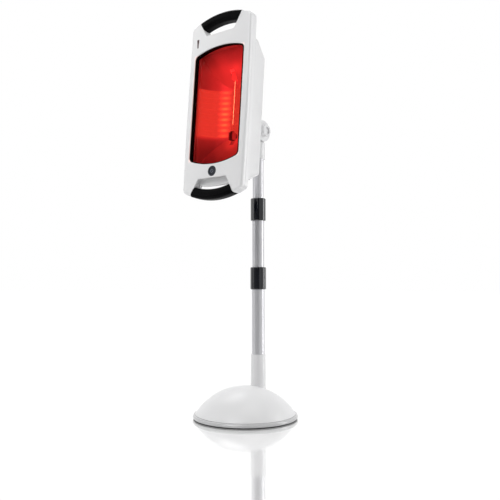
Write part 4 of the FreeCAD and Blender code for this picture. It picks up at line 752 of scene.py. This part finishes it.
windowLip = {
    "half": 79.25 * mm,
    "archRadius": 222.0 * mm,
    "archTop": 148.6 * mm,
    "corner": 12.0 * mm,
    "cornerSteps": 8,
    "archSteps": 24,
    "front": 1.7 * mm,
    "back": 3.15 * mm,
    "width": 1.8 * mm,
    "sideWidth": 4.5 * mm,
    "round": 0.35 * mm,
}


def windowOutline():
    corner = windowLip["corner"]
    archMiddle = windowLip["archTop"] - windowLip["archRadius"]
    cornerAcross = windowLip["half"] - corner
    cornerUp = math.sqrt((windowLip["archRadius"] - corner) ** 2 - cornerAcross ** 2)
    turn = math.atan2(cornerUp, cornerAcross)
    quarter = []

    def addPlace(across, up, radius, angle):
        quarter.append((across + radius * math.cos(angle), archMiddle + up + radius * math.sin(angle)))

    for step in range(windowLip["cornerSteps"] + 1):
        addPlace(cornerAcross, cornerUp, corner, turn * step / windowLip["cornerSteps"])
    for step in range(1, windowLip["archSteps"] + 1):
        addPlace(0, 0, windowLip["archRadius"], turn + (math.pi / 2 - turn) * step / windowLip["archSteps"])
    upper = quarter + [(-across, up) for across, up in reversed(quarter[:-1])]
    return upper + [(-across, -up) for across, up in upper]


def rubberLip():
    lip = outlineRing([(across, windowLip["front"], up) for across, up in windowOutline()])
    bpy.ops.mesh.extrude_region_move()
    across = 1 - windowLip["sideWidth"] / windowLip["half"]
    up = 1 - windowLip["width"] / windowLip["archTop"]
    bpy.ops.transform.resize(value=(across, 1, up), center_override=(0, 0, 0))
    bpy.ops.mesh.select_all(action="SELECT")
    bpy.ops.mesh.extrude_region_move(
        TRANSFORM_OT_translate={"value": (0, windowLip["back"] - windowLip["front"], 0)})
    faceOutwards(lip)
    rounded(lip, windowLip["round"], degrees=60)
    lip = settle(joinPieces("rubberLip", lip), onFace)
    smooth(lip)
    giveFinish(lip, "lip")
    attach(lip, "head")


rubberLip()
print("window lip made")


coil = {
    "depth": 68.0 * mm,       # lamp axis behind the face
    "rise": 14.5 * mm,        # middle of the lamp above the middle of the window
    "half": 66.5 * mm,        # half length of the quartz tube
    "topMargin": 2.0 * mm,
    "footMargin": 18.0 * mm,
    "radius": 0.38 * mm,
    "wire": 0.12 * mm,
    "wireSides": 6,
    "turnSteps": 12,
    "pitch": 0.6 * mm,
    "endRadius": 0.168 * mm,  # the straight ends are thicker than the wire
    "endSides": 12,
    "endRound": 0.04 * mm,
    "bead": 0.8 * mm,
    "beadStep": 0.012 * mm,
}


def coilEnd(inner, outer):
    deselectAll()
    inwards = math.copysign(1, inner - outer)
    bpy.ops.mesh.primitive_cylinder_add(vertices=coil["endSides"], radius=coil["endRadius"],
                                        depth=abs(outer - inner), location=(0, 0, (inner + outer) / 2))
    end = settle(bpy.context.object)
    pickFacing(end, Vector((0, 0, inwards)))
    bpy.ops.mesh.inset(thickness=coil["beadStep"])
    bpy.ops.mesh.extrude_region_move(TRANSFORM_OT_translate={"value": (0, 0, inwards * coil["bead"])})
    wider = coil["radius"] / coil["wire"]
    bpy.ops.transform.resize(value=(wider, wider, 1), center_override=(0, 0, inner))
    bpy.ops.object.mode_set(mode="OBJECT")
    rounded(end, coil["endRound"])
    return end


def lampFilament():
    top = coil["half"] - coil["topMargin"]
    foot = coil["footMargin"] - coil["half"]
    deselectAll()
    bpy.ops.mesh.primitive_circle_add(vertices=coil["wireSides"], radius=coil["wire"], fill_type="NOTHING",
                                      location=(coil["radius"], 0, 0), rotation=(math.pi / 2, 0, 0))
    winding = settle(bpy.context.object)
    applyModifier(winding, "SCREW", axis="Z", steps=coil["turnSteps"], render_steps=coil["turnSteps"],
                  iterations=round((top - foot) / coil["pitch"]), screw_offset=coil["pitch"],
                  use_merge_vertices=True)
    winding.location = (0, 0, foot)
    settle(winding)
    ends = [coilEnd(foot, -coil["half"]), coilEnd(top, coil["half"])]
    piece = joinPieces("lampFilament", winding, *ends)
    settle(piece, onFace @ Matrix.Translation((0, coil["depth"], coil["rise"])))
    faceOutwards(piece)
    smooth(piece)
    giveFinish(piece, "wire")
    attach(piece, "head")
    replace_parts(piece, "lamp_filament")


lampFilament()
print("lamp filament made")


studio = {
    "floorSize": 40.0,
    "floorColour": (0.92, 0.92, 0.92),
    "floorMirror": 0.8,
    "floorShine": 0.08,
    "floorGlow": 0.12,
    # light of the room by direction: 0 is beyond the lamp, 1 behind the camera
    "room": ((0.0, 1.0), (0.25, 0.9), (0.4, 0.5), (0.5, 0.36), (0.75, 0.26), (0.85, 0.14), (1.0, 0.07)),
}

# Softboxes stand round the camera's axis: turn to the right of it and tip above the horizon, in degrees;
# aim is the height that they look at.
softboxes = {
    "leftStrip": {"turn": -80, "tip": 0, "aim": 0.5, "away": 2.4, "width": 0.2, "height": 1.2, "power": 1.6},
    "keyBox": {"turn": -35, "tip": 42, "aim": 0.6, "away": 3.0, "width": 1.8, "height": 1.4, "power": 38},
    "sideBox": {"turn": -90, "tip": 20, "aim": 0.7, "away": 2.4, "width": 0.6, "height": 1.9, "power": 6},
    "frontFill": {"turn": 31, "tip": 8, "aim": 0.5, "away": 2.6, "width": 1.4, "height": 2.0, "power": 4.5},
    "rightBox": {"turn": 68, "tip": 8, "aim": 0.6, "away": 2.6, "width": 1.8, "height": 2.6, "power": 6},
    "rightStrip": {"turn": 93, "tip": 8, "aim": 0.6, "away": 2.6, "width": 0.5, "height": 2.6, "power": 24},
    "backBox": {"turn": -155, "tip": 60, "aim": 0.1, "away": 2.6, "width": 1.0, "height": 0.8, "power": 9},
    "topBox": {"turn": 40, "tip": 80, "aim": 0.6, "away": 2.6, "width": 1.6, "height": 1.6, "power": 12},
}

view = {
    "place": (1.0336, -1.2821, 0.3404),
    "turn": 38.475,           # degrees to the left of +Y
    "tip": 2.84,              # degrees upwards
    "lens": 46.656,           # focal length in mm
    "sensor": 36,             # width of the sensor in mm
    "near": 0.01,             # nothing closer than this is seen
}


def studioFloor():
    deselectAll()
    bpy.ops.mesh.primitive_plane_add(size=studio["floorSize"], location=(0, 0, 0))
    floor = settle(bpy.context.object)
    floor.name = "studioFloor"
    finish, shader = newFinish("paleFloor", studio["floorColour"], studio["floorShine"],
                               studio["floorMirror"])
    shader.inputs["Emission Color"].default_value = (1, 1, 1, 1)
    shader.inputs["Emission Strength"].default_value = studio["floorGlow"]
    floor.data.materials.append(finish)


def softbox(name, box):
    light = bpy.data.lights.new(name, "AREA")
    light.shape = "RECTANGLE"
    light.size = box["width"]
    light.size_y = box["height"]
    light.energy = box["power"]
    lamp = bpy.data.objects.new(name, light)
    bpy.context.scene.collection.objects.link(lamp)
    middle = Vector((0, 0, box["aim"]))
    turn = math.atan2(view["place"][1], view["place"][0]) + math.radians(box["turn"])
    tip = math.radians(box["tip"])
    away = Vector((math.cos(turn) * math.cos(tip), math.sin(turn) * math.cos(tip), math.sin(tip)))
    lamp.location = middle + away * box["away"]
    lamp.rotation_euler = (-away).to_track_quat("-Z", "Y").to_euler()


def studioWorld():
    world = bpy.data.worlds.new("paleStudio")
    bpy.context.scene.world = world
    world.use_nodes = True
    tree = world.node_tree
    link = tree.links.new
    back = tree.nodes["Background"]
    sky = tree.nodes.new("ShaderNodeTexCoord")
    dot = tree.nodes.new("ShaderNodeVectorMath")
    dot.operation = "DOT_PRODUCT"
    dot.inputs[1].default_value = Vector(view["place"]).normalized()
    link(sky.outputs["Generated"], dot.inputs[0])
    half = tree.nodes.new("ShaderNodeMapRange")
    half.inputs["From Min"].default_value = -1
    link(dot.outputs["Value"], half.inputs["Value"])
    ramp = tree.nodes.new("ShaderNodeValToRGB")
    fillRamp(ramp, studio["room"])
    link(half.outputs["Result"], ramp.inputs["Fac"])
    path = tree.nodes.new("ShaderNodeLightPath")
    mix = tree.nodes.new("ShaderNodeMix")
    mix.inputs["B"].default_value = 1.0
    link(path.outputs["Is Camera Ray"], mix.inputs["Factor"])
    link(ramp.outputs["Color"], mix.inputs["A"])
    link(mix.outputs["Result"], back.inputs["Strength"])
    back.inputs["Color"].default_value = (1, 1, 1, 1)


def studioCamera():
    lens = bpy.data.cameras.new("studioCamera")
    lens.sensor_width = view["sensor"]
    lens.lens = view["lens"]
    lens.clip_start = view["near"]
    camera = bpy.data.objects.new("studioCamera", lens)
    bpy.context.scene.collection.objects.link(camera)
    camera.location = view["place"]
    camera.rotation_euler = (math.radians(90 + view["tip"]), 0, math.radians(view["turn"]))
    bpy.context.scene.camera = camera


studioFloor()
studioWorld()
for name, box in softboxes.items():
    softbox(name, box)
studioCamera()
bpy.context.scene.view_settings.view_transform = "Standard"
print("studio set")
